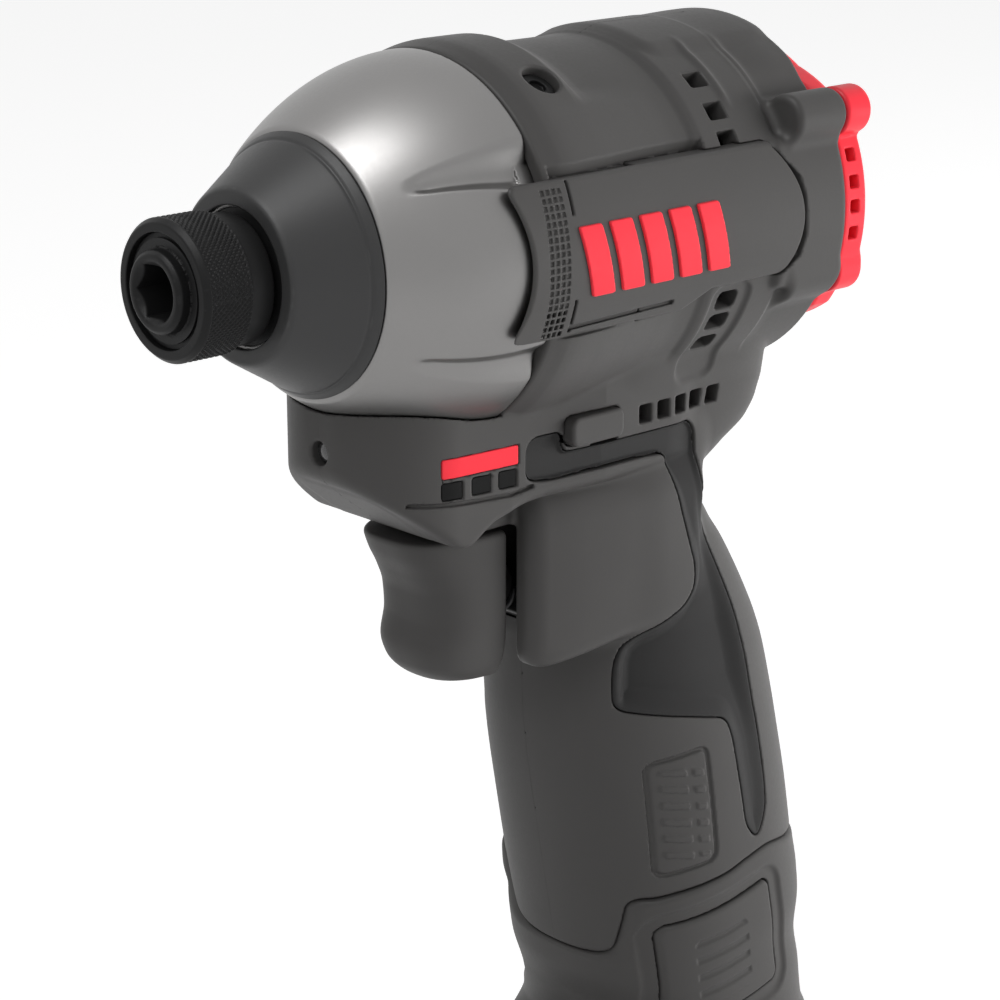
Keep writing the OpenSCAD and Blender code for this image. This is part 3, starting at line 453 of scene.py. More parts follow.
def body_form(x, y, z):
    """Outside of one body half on its own side, before its grooves and holes."""
    r, a = about_axis(y, z)
    side = curve_at(x, barrel_curve)
    radius = side + (curve_at(x, top_curve) - side) * smooth_step((a - 46) / 10)
    radius = radius + 0.7 * smooth_step((-84 - x) / 10) * smooth_step((a - 44) / 12)
    ridge = np.exp(-((x + 79.6) / 0.7) ** 2) + np.exp(-((x + 86.4) / 0.7) ** 2)
    radius = radius + 0.35 * ridge * np.clip((a - 38) / 6, 0, 1) * np.clip((72 - a) / 6, 0, 1)
    barrel = soft_max(r - radius, band(x, CAP_X, -42.15), 0.7)
    pad = soft_max(soft_max(r - 25.4, rect(x, y, -97.0, -73, -30, 10.5, 2.5), 1.8), 10 - z, 0.5)
    barrel = soft_min(barrel, pad, 1.4)
    side_plate = soft_max(r - 26.1, rect(x, z, -97.0, -84, -9, 11.4, 1.5), 1.2)
    barrel = soft_min(barrel, np.maximum(side_plate, 10 - y), 0.8)
    boss = boss_rods(x, y, z, 3.4, -87.2, CAP_X, 1.1)
    barrel = soft_min(barrel, boss, 1.6)
    half_width = np.interp(x, (-60, -24), (16.5, 13.5))
    half_width = half_width - 1.1 * smooth_step((-31.4 - z) / 2.4) * np.clip((-44 - x) / 6, 0, 1)
    plan = rect(x, y, -84, -24, -half_width, half_width, 11.5)
    slope = (-(z + 37.6) * 11.6 + (x + 35.6) * 9.2) / math.hypot(11.6, 9.2)
    under = soft_max(curve_at(x, chin_low) - z, slope, 2.0)
    saddle = soft_max(soft_max(plan, under, 1.4), band(z, -60, -6), 1.0)
    keel = soft_max(rect(x, y, -56, -26, -9.1, 9.1, 4.0), soft_max(-38.4 - z, slope, 3.0), 1.2)
    saddle = soft_min(saddle, np.maximum(keel, z + 30), 0.5)
    block_width = curve_at(x, block_curve) - 2.6 * np.clip((z + 38.4) / 6, 0, 1) ** 2
    plank = soft_max(rect(x, z, -80, -50.3, -70, -28, 3.0), curve_at(x, block_low) - z, 3.2)
    switch = soft_max(np.abs(y) - block_width, plank, 2.4)
    handle = soft_max(grip_form(x, y, z), band(z, -112, -12), 0.5)
    handle = soft_min(handle, switch, 3.0)
    lower = soft_min(saddle, handle, 0.9)
    return soft_min(barrel, lower, 0.8)


rim_curve = smooth_curve((
    (-112, -95.9), (-104, -95.9), (-97.6, -95.2), (-91, -94.1), (-86.4, -94.8), (-82.6, -95.9),
    (-78.2, -96.8), (-74.7, -97.5), (-71.7, -98.2), (-60, -98.6)))


def lip_cut(x, z):
    """Where the handle ends above the battery pack: a step at the front, a rim rising behind."""
    front = soft_max(-108.6 - z, -69.6 - x, 2.4)
    rear = curve_at(x, rim_curve) - z
    return soft_min(front, rear, 1.8)


def insert_depth(x, z):
    """How far the soft insert dips below the handle, deeper away from its edge."""
    full = np.interp(z, (-92, -76, -71, -66, -58, -52, -44, -36, -31),
                     (0.9, 1.0, 1.7, 2.5, 2.3, 1.2, 0.6, 0.6, 0.8))
    full = full * np.interp(x, (-88, -70), (0.55, 1.0))
    reach = np.interp(z, (-92, -72, -66, -58, -52, -44, -36, -31),
                      (2.6, 2.8, 3.6, 3.4, 2.5, 2.0, 1.5, 0.6))
    return full * smooth_step(-INSERT(x, z) / reach)


def insert_floor(z):
    """How deep the pocket for the soft insert is."""
    return np.interp(z, (-92, -80, -74, -66, -58, -52, -44, -31),
                     (1.25, 1.3, 1.9, 3.2, 3.0, 1.9, 1.4, 1.7))


CHIN_LINE = ((-29, -30.7), (-37, -31.2), (-43.9, -31.5), (-47.5, -31.0))
PANEL_END = ((-86.0, 7.8), (-87.5, 6.2), (-88.2, 3.6), (-88.3, -1.6), (-87.5, -4.2), (-86.0, -5.4))
SLOT_COUNT = 5
SLOT_PITCH = 3.55


def housing_field(side, joint=True):
    """One body half with its grooves, pockets and holes, with or without its flat joint face."""
    def field(x, y, z):
        y = y * side
        r, a = about_axis(y, z)
        f = body_form(x, y, z)
        f = engrave(f, path(x, z, CHIN_LINE) - 0.28, 0.7, 0.25)
        pocket = soft_max(INSERT(x, z) - 0.06, -(f + insert_floor(z)), 0.2)
        f = np.where(y > 3, soft_max(f, -pocket, 0.3), f)
        plate = PLATE(x, z)
        f = engrave(f, np.abs(plate + 0.5) - 0.3, 0.45, 0.3)
        across = x - 0.145 * (z + 85)
        ribs = np.abs(np.mod(z - 0.16 * x, 2.6) - 1.3) - 0.5
        wide = rect(across, z, -75.6, -71.6, -92.5, -77.5, 0.5)
        columns = np.minimum(wide, rect(across, z, -78.3, -76.6, -92, -77, 0.5))
        f = emboss(f, soft_max(soft_max(ribs, columns, 0.3), 8 - y, 0.3), 0.28, 0.25)
        off, out = screw_axes(x, y, z)
        f = carve(f, soft_max(off - 2.55, 23.85 - out, 0.2), 0.5)
        for angle in VENTS_UP:
            across = r * np.radians(a - angle)
            f = carve(f, soft_max(rect(x, across, -78.6, -75.2, -1.3, 1.3, 0.35), 18 - r, 0.3), 0.25)
        for angle in VENTS_LOW:
            across = r * np.radians(a - angle)
            f = carve(f, soft_max(rect(x, across, -77.8, -75.0, -0.85, 0.85, 0.3), 18 - r, 0.3), 0.2)
        channel = rect(x, r * np.radians(a + 32.5), -80.2, -73, -9.5, 7.0, 2.0)
        f = engrave(f, channel, 0.5, 0.7)
        for k in range(SLOT_COUNT):
            slot = rect(x, z, -68.85 - SLOT_PITCH * k, -66.45 - SLOT_PITCH * k, -25.95, -23.4, 0.3)
            f = carve(f, soft_max(slot, 11 - y, 0.3), 0.3)
        f = carve(f, soft_max(soft_max(panel_area(x, z, 0.05), 15 - y, 0.2), 25.35 - r, 0.3), 0.25)
        rear = soft_max(panel_area(x, z, 0.05), x + 57.9, 0.2)
        f = carve(f, soft_max(rear, np.maximum(15 - y, 23.65 - r), 0.2), 0.3)
        lean = (12.9 - z) / 1.9
        ledge = np.maximum(curve_at(x, barrel_curve) - 1.5 * lean - r, band(z, 11.0, 12.9))
        f = carve(f, np.maximum(np.maximum(ledge, band(x, -72, -43.2)), 15 - y), 0.15)
        f = engrave(f, path(x, z, PANEL_END) - 0.32, 0.7, 0.25)
        bore = np.where(x > SPIGOT_END, r - SPIGOT_BORE, r - MOTOR_BORE)
        f = carve(f, np.maximum(bore, x + 42), 0.2)
        dome = r - 0.15 - dome_radius(x)
        f = carve(f, np.maximum(dome, -42.2 - x), 0.3)
        f = carve(f, block(x, y, z, -60, -30, -20, 9.2, -67, -38.5, 0.4), 0.4)
        room = block(x, y, z, -80, -55.2, -20, 10.05, -58.1, -36.9, 0.3)
        f = carve(f, np.maximum(room, switch_corner(x, z) - 0.1), 0.2)
        f = carve(f, block(x, y, z, -79.65, -77, -20, 10.05, -66.5, -35.9, 0.2), 0.2)
        f = carve(f, block(x, y, z, -92, -76, -20, 9.05, -90, -66, 0.3), 0.2)
        tower, w = lobes(x, y, z, TOWER_ROOM)
        f = carve(f, np.maximum(tower, w - 19.6), 0.3)
        f = carve(f, block(x, y, z, -62.3, -57.5, -30, 30, -27.2, -23.1, 0.2), 0.1)
        f = carve(f, block(x, y, z, -62.1, -57.9, -20, 6, -37, -26.6, 0.2), 0.1)
        f = carve(f, block(x, y, z, -62.75, -52.85, 11.8, 30, -26.75, -22.45, 1.2), 0.2)
        lamp_hole = soft_max(np.hypot(y, z - LAMP_Z) - 1.6, band(x, -29, -20), 0.3)
        f = carve(f, lamp_hole, 0.4)
        f = carve(f, block(x, y, z, -28.6, -26.2, -20, 5.05, -29.6, -21.4, 0.2), 0.1)
        for by, bz in BOSSES:
            f = carve(f, np.maximum(np.hypot(y - by, z - bz) - 1.45, x + 89), 0.2)
        f = carve(f, soft_max(off - 1.4, 20 - r, 0.1), 0.1)
        if side > 0:
            f = engrave(f, soft_max(gauge_area(x, z, 0.06), 10 - y, 0.2), 1.6, 0.12)
            f = engrave(f, soft_max(strip_area(x, z, 0.06), 10 - y, 0.2), 0.75, 0.1)
        else:
            for sx, sz, seat in HOUSING_SCREWS:
                f = carve(f, soft_max(np.hypot(x - sx, z - sz) - 2.9, seat - y, 0.2), 0.6)
        f = soft_max(f, lip_cut(x, z), 0.8)
        return soft_max(f, SEAM - y, 0.05) if joint else f
    return field


# Metal case
def dome_radius(x):
    """Outside of the case, swelling from the nose to the body."""
    t = np.clip((-21.1 - x) / 21.0, 0.0, 1.0)
    return 17.3 + 7.9 * (1 - (1 - t) ** 1.9)


def case_groove(across, above, below, depth):
    """A groove with a wide face above its bottom and another below it."""
    notch = np.where(across > 0, 1 - across / above, 1 + across / below)
    return depth * smooth_step(notch)


def case_field(x, y, z):
    r = np.hypot(y, z)
    side_angle = np.degrees(np.arctan2(z, np.abs(y)))
    outer = dome_radius(x)
    front, back = -24.4, -42.0
    along = np.clip((x - front) / (back - front), 0, 1)
    fade = smooth_step(along * 5)
    upper = r * np.radians(side_angle - (35.0 - 6.5 * along))
    outer = outer - fade * case_groove(upper, 1.2 + 4.6 * along, 0.9 + 2.0 * along, 0.8 + 1.7 * along)
    lower = r * np.radians(side_angle + 31.0 - 4.5 * along)
    outer = outer - fade * case_groove(lower, 1.2 + 1.4 * along, 1.4 + 2.6 * along, 0.5 + 0.7 * along)
    dome = soft_max(r - outer, band(x, -42.15, -21.15), 0.6)
    tube = np.maximum(r - 10.4, band(x, -30, -12))
    tail = np.maximum(np.where(x > -56, r - 23.3, r - 21.9), band(x, -67.55, -40))
    f = np.minimum(np.minimum(dome, tube), tail)
    bore = np.interp(x, (-57, -56.9, -31.1, -30.4, -23.8, -23.7),
                     (20.05, 19.4, 19.4, 15.8, 15.8, 8.62))
    return carve(f, r - bore, 0.2)


# Turned and wound pieces
def lathe(name, profile, segments, ripple=None):
    """A turned piece from closed x and radius points, with an optional change of radius."""
    x = np.array([p[0] for p in profile])
    r = np.array([p[1] for p in profile])
    a = np.linspace(0, 2 * math.pi, segments, endpoint=False)
    rr = np.repeat(r[:, None], segments, 1)
    if ripple is not None:
        rr = rr + ripple(x[:, None], rr, a[None, :])
    xx = np.repeat(x[:, None], segments, 1)
    points = np.stack([xx, rr * np.cos(a), rr * np.sin(a)], 2).reshape(-1, 3)
    i = np.arange(len(profile))[:, None]
    j = np.arange(segments)[None, :]
    i2 = (i + 1) % len(profile)
    j2 = (j + 1) % segments
    quads = np.stack([i * segments + j, i * segments + j2, i2 * segments + j2, i2 * segments + j], 2)
    return mesh_object(name, points, quads.reshape(-1, 4))


def filled(points, longest):
    """The closed outline with long edges split, so that shading stays even."""
    out = []
    n = len(points)
    for k in range(n):
        a, b = np.array(points[k]), np.array(points[(k + 1) % n])
        pieces = max(1, int(math.ceil(np.linalg.norm(b - a) / longest)))
        for s in range(pieces):
            out.append(tuple(a + (b - a) * s / pieces))
    return out


KNURL_STARTS = 72
KNURL_PITCH = 0.8


def knurl(x, r, a):
    """Crossed helical grooves on the outside of the sleeve."""
    turn = a * KNURL_STARTS / (2 * math.pi)
    u = np.abs(np.mod(x / KNURL_PITCH + turn, 1.0) - 0.5) * 2
    v = np.abs(np.mod(x / KNURL_PITCH - turn, 1.0) - 0.5) * 2
    cut = 0.27 * np.maximum(np.clip(1 - u * 1.5, 0, 1), np.clip(1 - v * 1.5, 0, 1))
    outside = np.clip((r - 8.93) / 0.05, 0, 1)
    length = np.clip((-0.8 - x) / 0.2, 0, 1) * np.clip((x + 7.0) / 0.2, 0, 1)
    return -cut * outside * length


WIRE_SIDES = 12
COIL_STEPS = 36


def coil(name, start, end, radius, wire, turns, place):
    """A wire coil along an axis; place turns its axial, first and second distances into points."""
    steps = int(turns * COIL_STEPS)
    row = np.arange(steps + 3)
    t = np.clip((row - 1) / steps, 0, 1)
    thick = np.where((row > 0) & (row < steps + 2), wire, 0.0)
    around = np.linspace(0, 2 * math.pi, WIRE_SIDES, endpoint=False)
    along = (start + (end - start) * t)[:, None] + thick[:, None] * np.sin(around)
    out = radius + thick[:, None] * np.cos(around)
    angle = (2 * math.pi * turns * t)[:, None]
    points = np.stack(place(along, out * np.cos(angle), out * np.sin(angle)), 2).reshape(-1, 3)
    i = np.arange(steps + 2)[:, None] * WIRE_SIDES
    j = np.arange(WIRE_SIDES)[None, :]
    j2 = (j + 1) % WIRE_SIDES
    quads = np.stack([i + j, i + j2, i + WIRE_SIDES + j2, i + WIRE_SIDES + j], 2)
    return mesh_object(name, points, quads.reshape(-1, 4))


# Other sculpted pieces
def anvil_field(x, y, z):
    r = np.hypot(y, z)
    rod = np.where(x > -11.4, np.where(x > -0.4, r - 5.2, r - 5.65), r - 6.0)
    f = soft_max(rod, band(x, -31, 1.3), 0.1)
    f = soft_max(f, (r + x - 6.0) * 0.7071, 0.15)
    hub = np.maximum(r - 8, band(x, -31, -24.7))
    ear_angle = np.abs(np.degrees(np.arctan2(np.abs(y), np.abs(z))))
    ear = np.maximum(np.maximum(r - 15, (ear_angle - 18) * 0.15), band(x, -31, -24))
    f = np.minimum(np.minimum(f, hub), ear)
    hexagon = np.maximum(np.abs(z), np.abs(y) * 0.8660254 + np.abs(z) * 0.5) - 3.225
    f = carve(f, np.maximum(hexagon, -20 - x), 0.25)
    f = carve(f, (r - 2.7 - x) * 0.7071, 0.2)
    f = carve(f, np.maximum(r - 3.55, x + 25), 0.1)
    return carve(f, np.hypot(x + 7, y) - 1.55, 0.1)


CAP_VENTS = (17.7, 9.2, 1.5, -7.0)


def cap_field(x, y, z):
    ay = np.abs(y)
    r, a = about_axis(ay, z)
    rim = np.interp(a, (-48, -36, 40, 56), (22.3, 24.0, 24.0, 22.3))
    disc = soft_max(r - rim, band(x, CAP_BACK, CAP_X - 0.05), 1.6)
    boss = boss_rods(x, ay, z, 3.4, CAP_X - 0.05, CAP_BACK + 0.4, 0.7)
    f = soft_min(disc, boss, 1.0)
    cheek = np.maximum(rect(ay, z, 18, 30, -8, 13, 1), band(x, CAP_BACK + 0.5, CAP_X - 0.05))
    f = soft_min(f, soft_max(r - 25.4, cheek, 0.8), 0.8)
    dish = soft_max(np.abs(r - 15.5) - 4.2, band(x, CAP_BACK - 1, CAP_BACK + 0.5), 0.4)
    f = carve(f, dish, 0.5)
    for angle in CAP_VENTS:
        across = r * np.radians(a - angle)
        vent = rect(x, across, CAP_X - 3.2, CAP_X - 1.4, -0.9, 0.9, 0.25)
        f = carve(f, soft_max(vent, 20.5 - r, 0.2), 0.2)
    f = carve(f, np.maximum(r - 6.52, -101.2 - x), 0.1)
    f = carve(f, np.maximum(np.abs(r - 14.05) - 5.45, -100.6 - x), 0.2)
    for by, bz in BOSSES:
        d = np.hypot(ay - by, z - bz)
        f = carve(f, d - 1.5, 0.1)
        f = carve(f, np.maximum(d - 2.6, x + 100.1), 0.25)
    return f


DOT_PITCH = 0.95
BAR_COUNT = 5
BAR_PITCH = 5.4


def panel_area(x, z, grow):
    """Side outline of the panel, with its rounded rear end."""
    low = np.interp(x, (-71, -66), (-6.6, -9.0)) - grow
    rear = -88.3 + 2.3 * np.clip(np.abs(z - 1.2) / 6.6, 0, 1.4) ** 2 - grow
    return soft_max(rect(x, z, -90, -35 + grow, low, 11.3 + grow, 1.6), rear - x, 1.2)


def panel_field(side):
    def field(x, y, z):
        y = y * side
        r = np.hypot(y, z)
        front = -35.0 - 2.6 * np.clip(1 - ((z - 1.2) / 9.5) ** 2, 0, 1)
        shape = soft_max(panel_area(x, z, 0), x - front, 0.8)
        swell = np.interp(x, (-87, -60, -46, -44.5, -36), (26.1, 26.15, 26.2, 26.2, 26.05))
        swell = swell - 0.1 * np.clip(-4.2 - z, 0, 5)
        f = soft_max(soft_max(r - swell, shape, 0.6), 15 - y, 0.3)
        inner = np.where(x > -58, 25.45 - r, 23.7 - r)
        f = soft_max(f, inner, 0.25)
        f = engrave(f, soft_max(np.abs(x + 44.9) - 0.22, band(z, -8.2, -3.8), 0.2), 0.5, 0.2)
        f = engrave(f, soft_max(np.abs(x + 44.9) - 0.22, band(z, 6.8, 11.0), 0.2), 0.5, 0.2)
        along = np.abs(np.mod(x + 43.75, DOT_PITCH) - DOT_PITCH / 2)
        upward = np.abs(np.mod(z, DOT_PITCH) - DOT_PITCH / 2)
        squares = np.maximum(along, upward) - 0.3
        f = engrave(f, soft_max(squares, rect(x, z, -43.75, -39.95, -8.4, 10.6, 0.2), 0.1), 0.25, 0.1)
        return engrave(f, path(x, z, ((-45, -7.6), (-63.5, -7.2))) - 0.3, 0.55, 0.25)
    return field


def dash_field(side):
    """A plain row of five slanted raised bars on the side panel."""
    def field(x, y, z):
        y = y * side
        r = np.hypot(y, z)
        lean = x - 0.25 * z
        f = None
        for k in range(BAR_COUNT):
            bar = rect(lean, z, -50.6 - BAR_PITCH * k, -46.6 - BAR_PITCH * k, -3.8, 5.4, 0.35)
            f = bar if f is None else np.minimum(f, bar)
        f = soft_max(f, r - 26.56, 0.2)
        return soft_max(np.maximum(f, 15 - y), 25.9 - r, 0.1)
    return field


def insert_field(side):
    def field(x, y, z):
        y = y * side
        f = body_form(x, y, z)
        top = soft_max(f + insert_depth(x, z) + 0.08, INSERT(x, z) + 0.12, 0.25)
        return np.maximum(np.maximum(top, -(f + insert_floor(z)) + 0.05), 4 - y)
    return field


trigger_form = Loft([(z, front, 2 * TRIGGER_BACK - front, 9.0 * share, n) for z, front, share, n in (
    (-60.6, -42.6, 0.62, 2.4), (-59.6, -40.2, 0.78, 2.5), (-57.3, -38.2, 0.92, 2.7), (-55, -37.7, 0.98, 2.8),
    (-51, -38.8, 1, 2.9), (-47.5, -38.5, 1, 2.9), (-44.5, -37.3, 1, 2.9), (-41.5, -35.6, 1, 2.9),
    (-38.6, -34.4, 1, 2.9))])


def switch_corner(x, z):
    """The sloping cut across the lower front corner of the switch."""
    return (4.5 * (x + 55.3) - 7.7 * (z + 53.5)) / math.hypot(4.5, 7.7)


def switch_field(x, y, z):
    f = block(x, y, z, -77.85, SWITCH_X - 0.05, -9.95, 9.95, -57.95, -37.05, 0.5)
    f = soft_max(f, switch_corner(x, z), 0.4)
    hole = np.maximum(np.hypot(y, z - PLUNGER_Z) - 3.1, band(x, SWITCH_X - 10, -50))
    return carve(f, hole, 0.2)


def trigger_field(x, y, z):
    f = soft_max(trigger_form(x, y, z), band(z, -60.4, -38.9), 1.0)
    f = soft_max(f, TRIGGER_BACK - x, 0.5)
    f = carve(f, soft_max(np.hypot(y, z - PLUNGER_Z) - 5.4, x + 43.2, 0.2), 0.2)
    return np.minimum(f, np.maximum(np.hypot(y, z - PLUNGER_Z) - 3, band(x, SWITCH_X - 2, -42.5)))


def button_area(x, z, grow):
    u, w = pack_axes(x, z)
    return rect(u, w, -4.4 - grow, 15.2 + grow, -17.6 - grow, -0.2 + grow, 1.6 + grow)


def base_field(x, y, z):
    ay = np.abs(y)
    f = soft_max(base_form(x, y, z), band(z, -145.9, -90), 1.2)
    f = soft_max(f, -lip_cut(x, z) + 0.15, 0.8)
    f = engrave(f, np.abs(z + 129.5 + 0.12 * (x + 90)) - 0.4, 0.5, 0.4)
    f = engrave(f, soft_max(button_area(x, z, 2.2), 8 - ay, 0.5), 0.6, 0.8)
    tower, w = lobes(x, y, z, TOWER_CELL)
    f = carve(f, np.maximum(tower, -34.25 - w), 0.1)
    board_room = np.hypot(pack_axes(x, z)[0], y) - 15.05
    f = carve(f, np.maximum(board_room, band(w, -36.0, -33)), 0.1)
    pocket = soft_max(button_area(x, z, 0.25), 8.9 - ay, 0.2)
    room = 2.9 + 0.1 * np.clip(x + 86.5, 0, 13)
    return carve(f, np.maximum(pocket, -(base_form(x, y, z) + room)), 0.3)


def button_field(side):
    def field(x, y, z):
        y = y * side
        g = base_form(x, y, z)
        f = soft_max(g + 0.25, button_area(x, z, 0), 0.7)
        u, w = pack_axes(x, z)
        ribs = np.abs(np.mod(w, 2.9) - 1.45) - 0.45
        f = engrave(f, soft_max(ribs, rect(u, w, 1.4, 10.6, -15.2, -4.0, 1.0), 0.3), 0.3, 0.4)
        return np.maximum(np.maximum(f, -(g + 2.2)), 10.8 - y)
    return field


def selector_field(x, y, z):
    ay = np.abs(y)
    bar = block(x, y, z, -62.2, -57.6, -15.4, 15.4, -27.1, -23.2, 0.2)
    tab = soft_max(rect(x, z, -62.6, -53, -26.6, -22.6, 1.2), band(ay, 15, 17.5), 0.6)
    pin = np.maximum(np.hypot(x + 60, y) - 1.6, band(z, -38, -26.1))
    return np.minimum(np.minimum(bar, tab), pin)


GAUGE_CELLS = ((-36.0, -32.9), (-40.6, -37.5), (-44.8, -41.9))


def gauge_area(x, z, grow):
    best = None
    for x0, x1 in GAUGE_CELLS:
        cell = rect(x, z, x0 - grow, x1 + grow, -30.4 - grow, -28.05 + grow, 0.25)
        best = cell if best is None else np.minimum(best, cell)
    return best


def strip_area(x, z, grow):
    return rect(x, z, -45.1 - grow, -32.9 + grow, -27.5 - grow, -24.9 + grow, 0.25)


def inlay(x, y, z, area, sunk, deep):
    """A flat piece let into the body's left side."""
    shell = body_form(x, y, z)
    return np.maximum(np.maximum(soft_max(area, shell + sunk, 0.12), -(shell + deep)), 10 - y)


def gauge_field(x, y, z):
    return inlay(x, y, z, gauge_area(x, z, 0), 0.16, 1.4)


def label_field(x, y, z):
    return inlay(x, y, z, strip_area(x, z, 0), 0.06, 0.7)


def lens_field(x, y, z):
    r = np.hypot(y, z - LAMP_Z)
    dome = np.sqrt(r * r + (x + 27.8) ** 2) - 3.1
    return soft_max(soft_max(dome, r - 1.45, 0.2), -26.15 - x, 0.1)


# Materials
def surface(name, color, rough, metallic=0.0, grain=1500.0, bump=0.1, depth=0.00004, shade=0.08,
            spread=0.06, edge_wear_and_highlight=0.0, stretch=(1.0, 1.0, 1.0), coat=0.0, shine=0.5):
    """A procedural finish: fine grain in the bump, slow changes of tone and gloss, and paler convex edges
    that stand for wear and a painted highlight.
    """
    mat = bpy.data.materials.new(name)
    mat.use_nodes = True
    nodes, links = mat.node_tree.nodes, mat.node_tree.links
    shader = nodes["Principled BSDF"]
    shader.inputs["Metallic"].default_value = metallic
    shader.inputs["Specular IOR Level"].default_value = shine
    shader.inputs["Coat Weight"].default_value = coat
    shader.inputs["Coat Roughness"].default_value = 0.12
    coords = nodes.new("ShaderNodeTexCoord")
    mapping = nodes.new("ShaderNodeMapping")
    mapping.inputs["Scale"].default_value = stretch
    links.new(coords.outputs["Object"], mapping.inputs["Vector"])
    fine = nodes.new("ShaderNodeTexNoise")
    fine.inputs["Scale"].default_value = grain
    fine.inputs["Detail"].default_value = 3.0
    links.new(mapping.outputs["Vector"], fine.inputs["Vector"])
    slow = nodes.new("ShaderNodeTexNoise")
    slow.inputs["Scale"].default_value = 55.0
    slow.inputs["Detail"].default_value = 4.0
    links.new(coords.outputs["Object"], slow.inputs["Vector"])
    tone = nodes.new("ShaderNodeMix")
    tone.data_type = "RGBA"
    tone.inputs[6].default_value = [c * (1 - shade) for c in color] + [1.0]
    tone.inputs[7].default_value = [min(1.0, c * (1 + shade)) for c in color] + [1.0]
    links.new(slow.outputs["Fac"], tone.inputs[0])
    result = tone.outputs[2]
    # Convex edges are lightened by pointiness: partly wear, partly a painted highlight on ridges such as the
    # knurl's tops.
    if edge_wear_and_highlight > 0:
        geometry = nodes.new("ShaderNodeNewGeometry")
        ramp = nodes.new("ShaderNodeMapRange")
        ramp.inputs["From Min"].default_value = 0.52
        ramp.inputs["From Max"].default_value = 0.62
        ramp.inputs["To Max"].default_value = edge_wear_and_highlight
        links.new(geometry.outputs["Pointiness"], ramp.inputs["Value"])
        worn_and_highlit_edges = nodes.new("ShaderNodeMix")
        worn_and_highlit_edges.data_type = "RGBA"
        worn_and_highlit_edges.inputs[7].default_value = [min(1.0, c * 1.9 + 0.01) for c in color] + [1.0]
        links.new(ramp.outputs["Result"], worn_and_highlit_edges.inputs[0])
        links.new(result, worn_and_highlit_edges.inputs[6])
        result = worn_and_highlit_edges.outputs[2]
    links.new(result, shader.inputs["Base Color"])
    gloss = nodes.new("ShaderNodeMapRange")
    gloss.inputs["To Min"].default_value = rough - spread
    gloss.inputs["To Max"].default_value = rough + spread
    links.new(fine.outputs["Fac"], gloss.inputs["Value"])
    links.new(gloss.outputs["Result"], shader.inputs["Roughness"])
    relief = nodes.new("ShaderNodeBump")
    relief.inputs["Strength"].default_value = bump
    relief.inputs["Distance"].default_value = depth
    links.new(fine.outputs["Fac"], relief.inputs["Height"])
    links.new(relief.outputs["Normal"], shader.inputs["Normal"])
    return mat


finish = {
    "body_plastic": surface("body_plastic", (0.062, 0.06, 0.0588), 0.5, grain=1900, bump=0.2, shine=0.2),
    "grip_rubber": surface("grip_rubber", (0.03, 0.0296, 0.0296), 0.6, grain=2600, bump=0.25, shine=0.15),
    "case_metal": surface("case_metal", (0.228, 0.224, 0.221), 0.38, 1.0, grain=2400, bump=0.1),
    "dark_rubber": surface("dark_rubber", (0.04, 0.04, 0.0405), 0.44, grain=2200, bump=0.1,
                           edge_wear_and_highlight=0.2, shine=0.26),
    # The black steel's paler edges paint a highlight on the knurl's tops as well as wear.
    "black_steel": surface("black_steel", (0.0095, 0.0095, 0.0098), 0.45, 0.1, grain=2600, bump=0.08,
                           edge_wear_and_highlight=0.3, shine=0.16),
    "red_plastic": surface("red_plastic", (0.84, 0.034, 0.052), 0.4, grain=1900, bump=0.1,
                           shade=0.04, shine=0.2),
    "black_plastic": surface("black_plastic", (0.004, 0.004, 0.004), 0.3, grain=1800, bump=0.1, shine=0.12),
    "steel": surface("steel", (0.56, 0.56, 0.57), 0.28, 1.0, grain=900, bump=0.1, stretch=(1, 8, 8)),
    "spring_steel": surface("spring_steel", (0.03, 0.03, 0.031), 0.45, 0.6, grain=900, bump=0.1),
    "motor_steel": surface("motor_steel", (0.3, 0.3, 0.31), 0.42, 1.0, grain=900, bump=0.3,
                           stretch=(9, 1, 1)),
    "copper": surface("copper", (0.72, 0.32, 0.12), 0.3, 1.0, grain=1200, bump=0.5, stretch=(1, 6, 6)),
    "bronze": surface("bronze", (0.6, 0.42, 0.17), 0.4, 1.0, grain=2400, bump=0.2),
    "board": surface("board", (0.02, 0.12, 0.055), 0.4, grain=700, bump=0.3, shade=0.35, coat=0.3),
    "cell_wrap": surface("cell_wrap", (0.05, 0.17, 0.3), 0.28, grain=500, bump=0.05, coat=0.3),
}


# The lens is tinted near black: painted shade for the dark lamp hole behind it, with some light let through
# and a glossy coat.
def lens_with_painted_shade():
    mat = surface("lens", (0.05, 0.05, 0.052), 0.08, grain=900, bump=0.03, spread=0.02, coat=0.6)
    shader = mat.node_tree.nodes["Principled BSDF"]
    shader.inputs["Transmission Weight"].default_value = 0.4
    shader.inputs["IOR"].default_value = 1.49
    return mat


finish["lens"] = lens_with_painted_shade()
slot_of = {part["node"]: part["material_slot"] for part in record["subparts"]}
body_of = {node: body for body, nodes in record["behaviour"]["bodies"].items() for node in nodes}
for node, obj in frame["nodes"].items():
    obj.data.materials.clear()
    obj.data.materials.append(finish[slot_of[node]])


def dress(piece, node, slot=None, stands_for=True):
    """Gives a piece its finish and lets it ride with a node's body, in place of the node."""
    slot = slot or slot_of[node]
    piece.data.materials.append(finish[slot])
    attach(piece, body_of[node])
    if stands_for:
        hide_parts(node)
    return piece


# Pieces, with mesh steps in millimetres
COARSE, MIDDLE, FINE = 0.34, 0.26, 0.17


def span(side, near, far):
    """The range of y on one side, from near to far of the middle."""
    return (near, far) if side > 0 else (-far, -near)


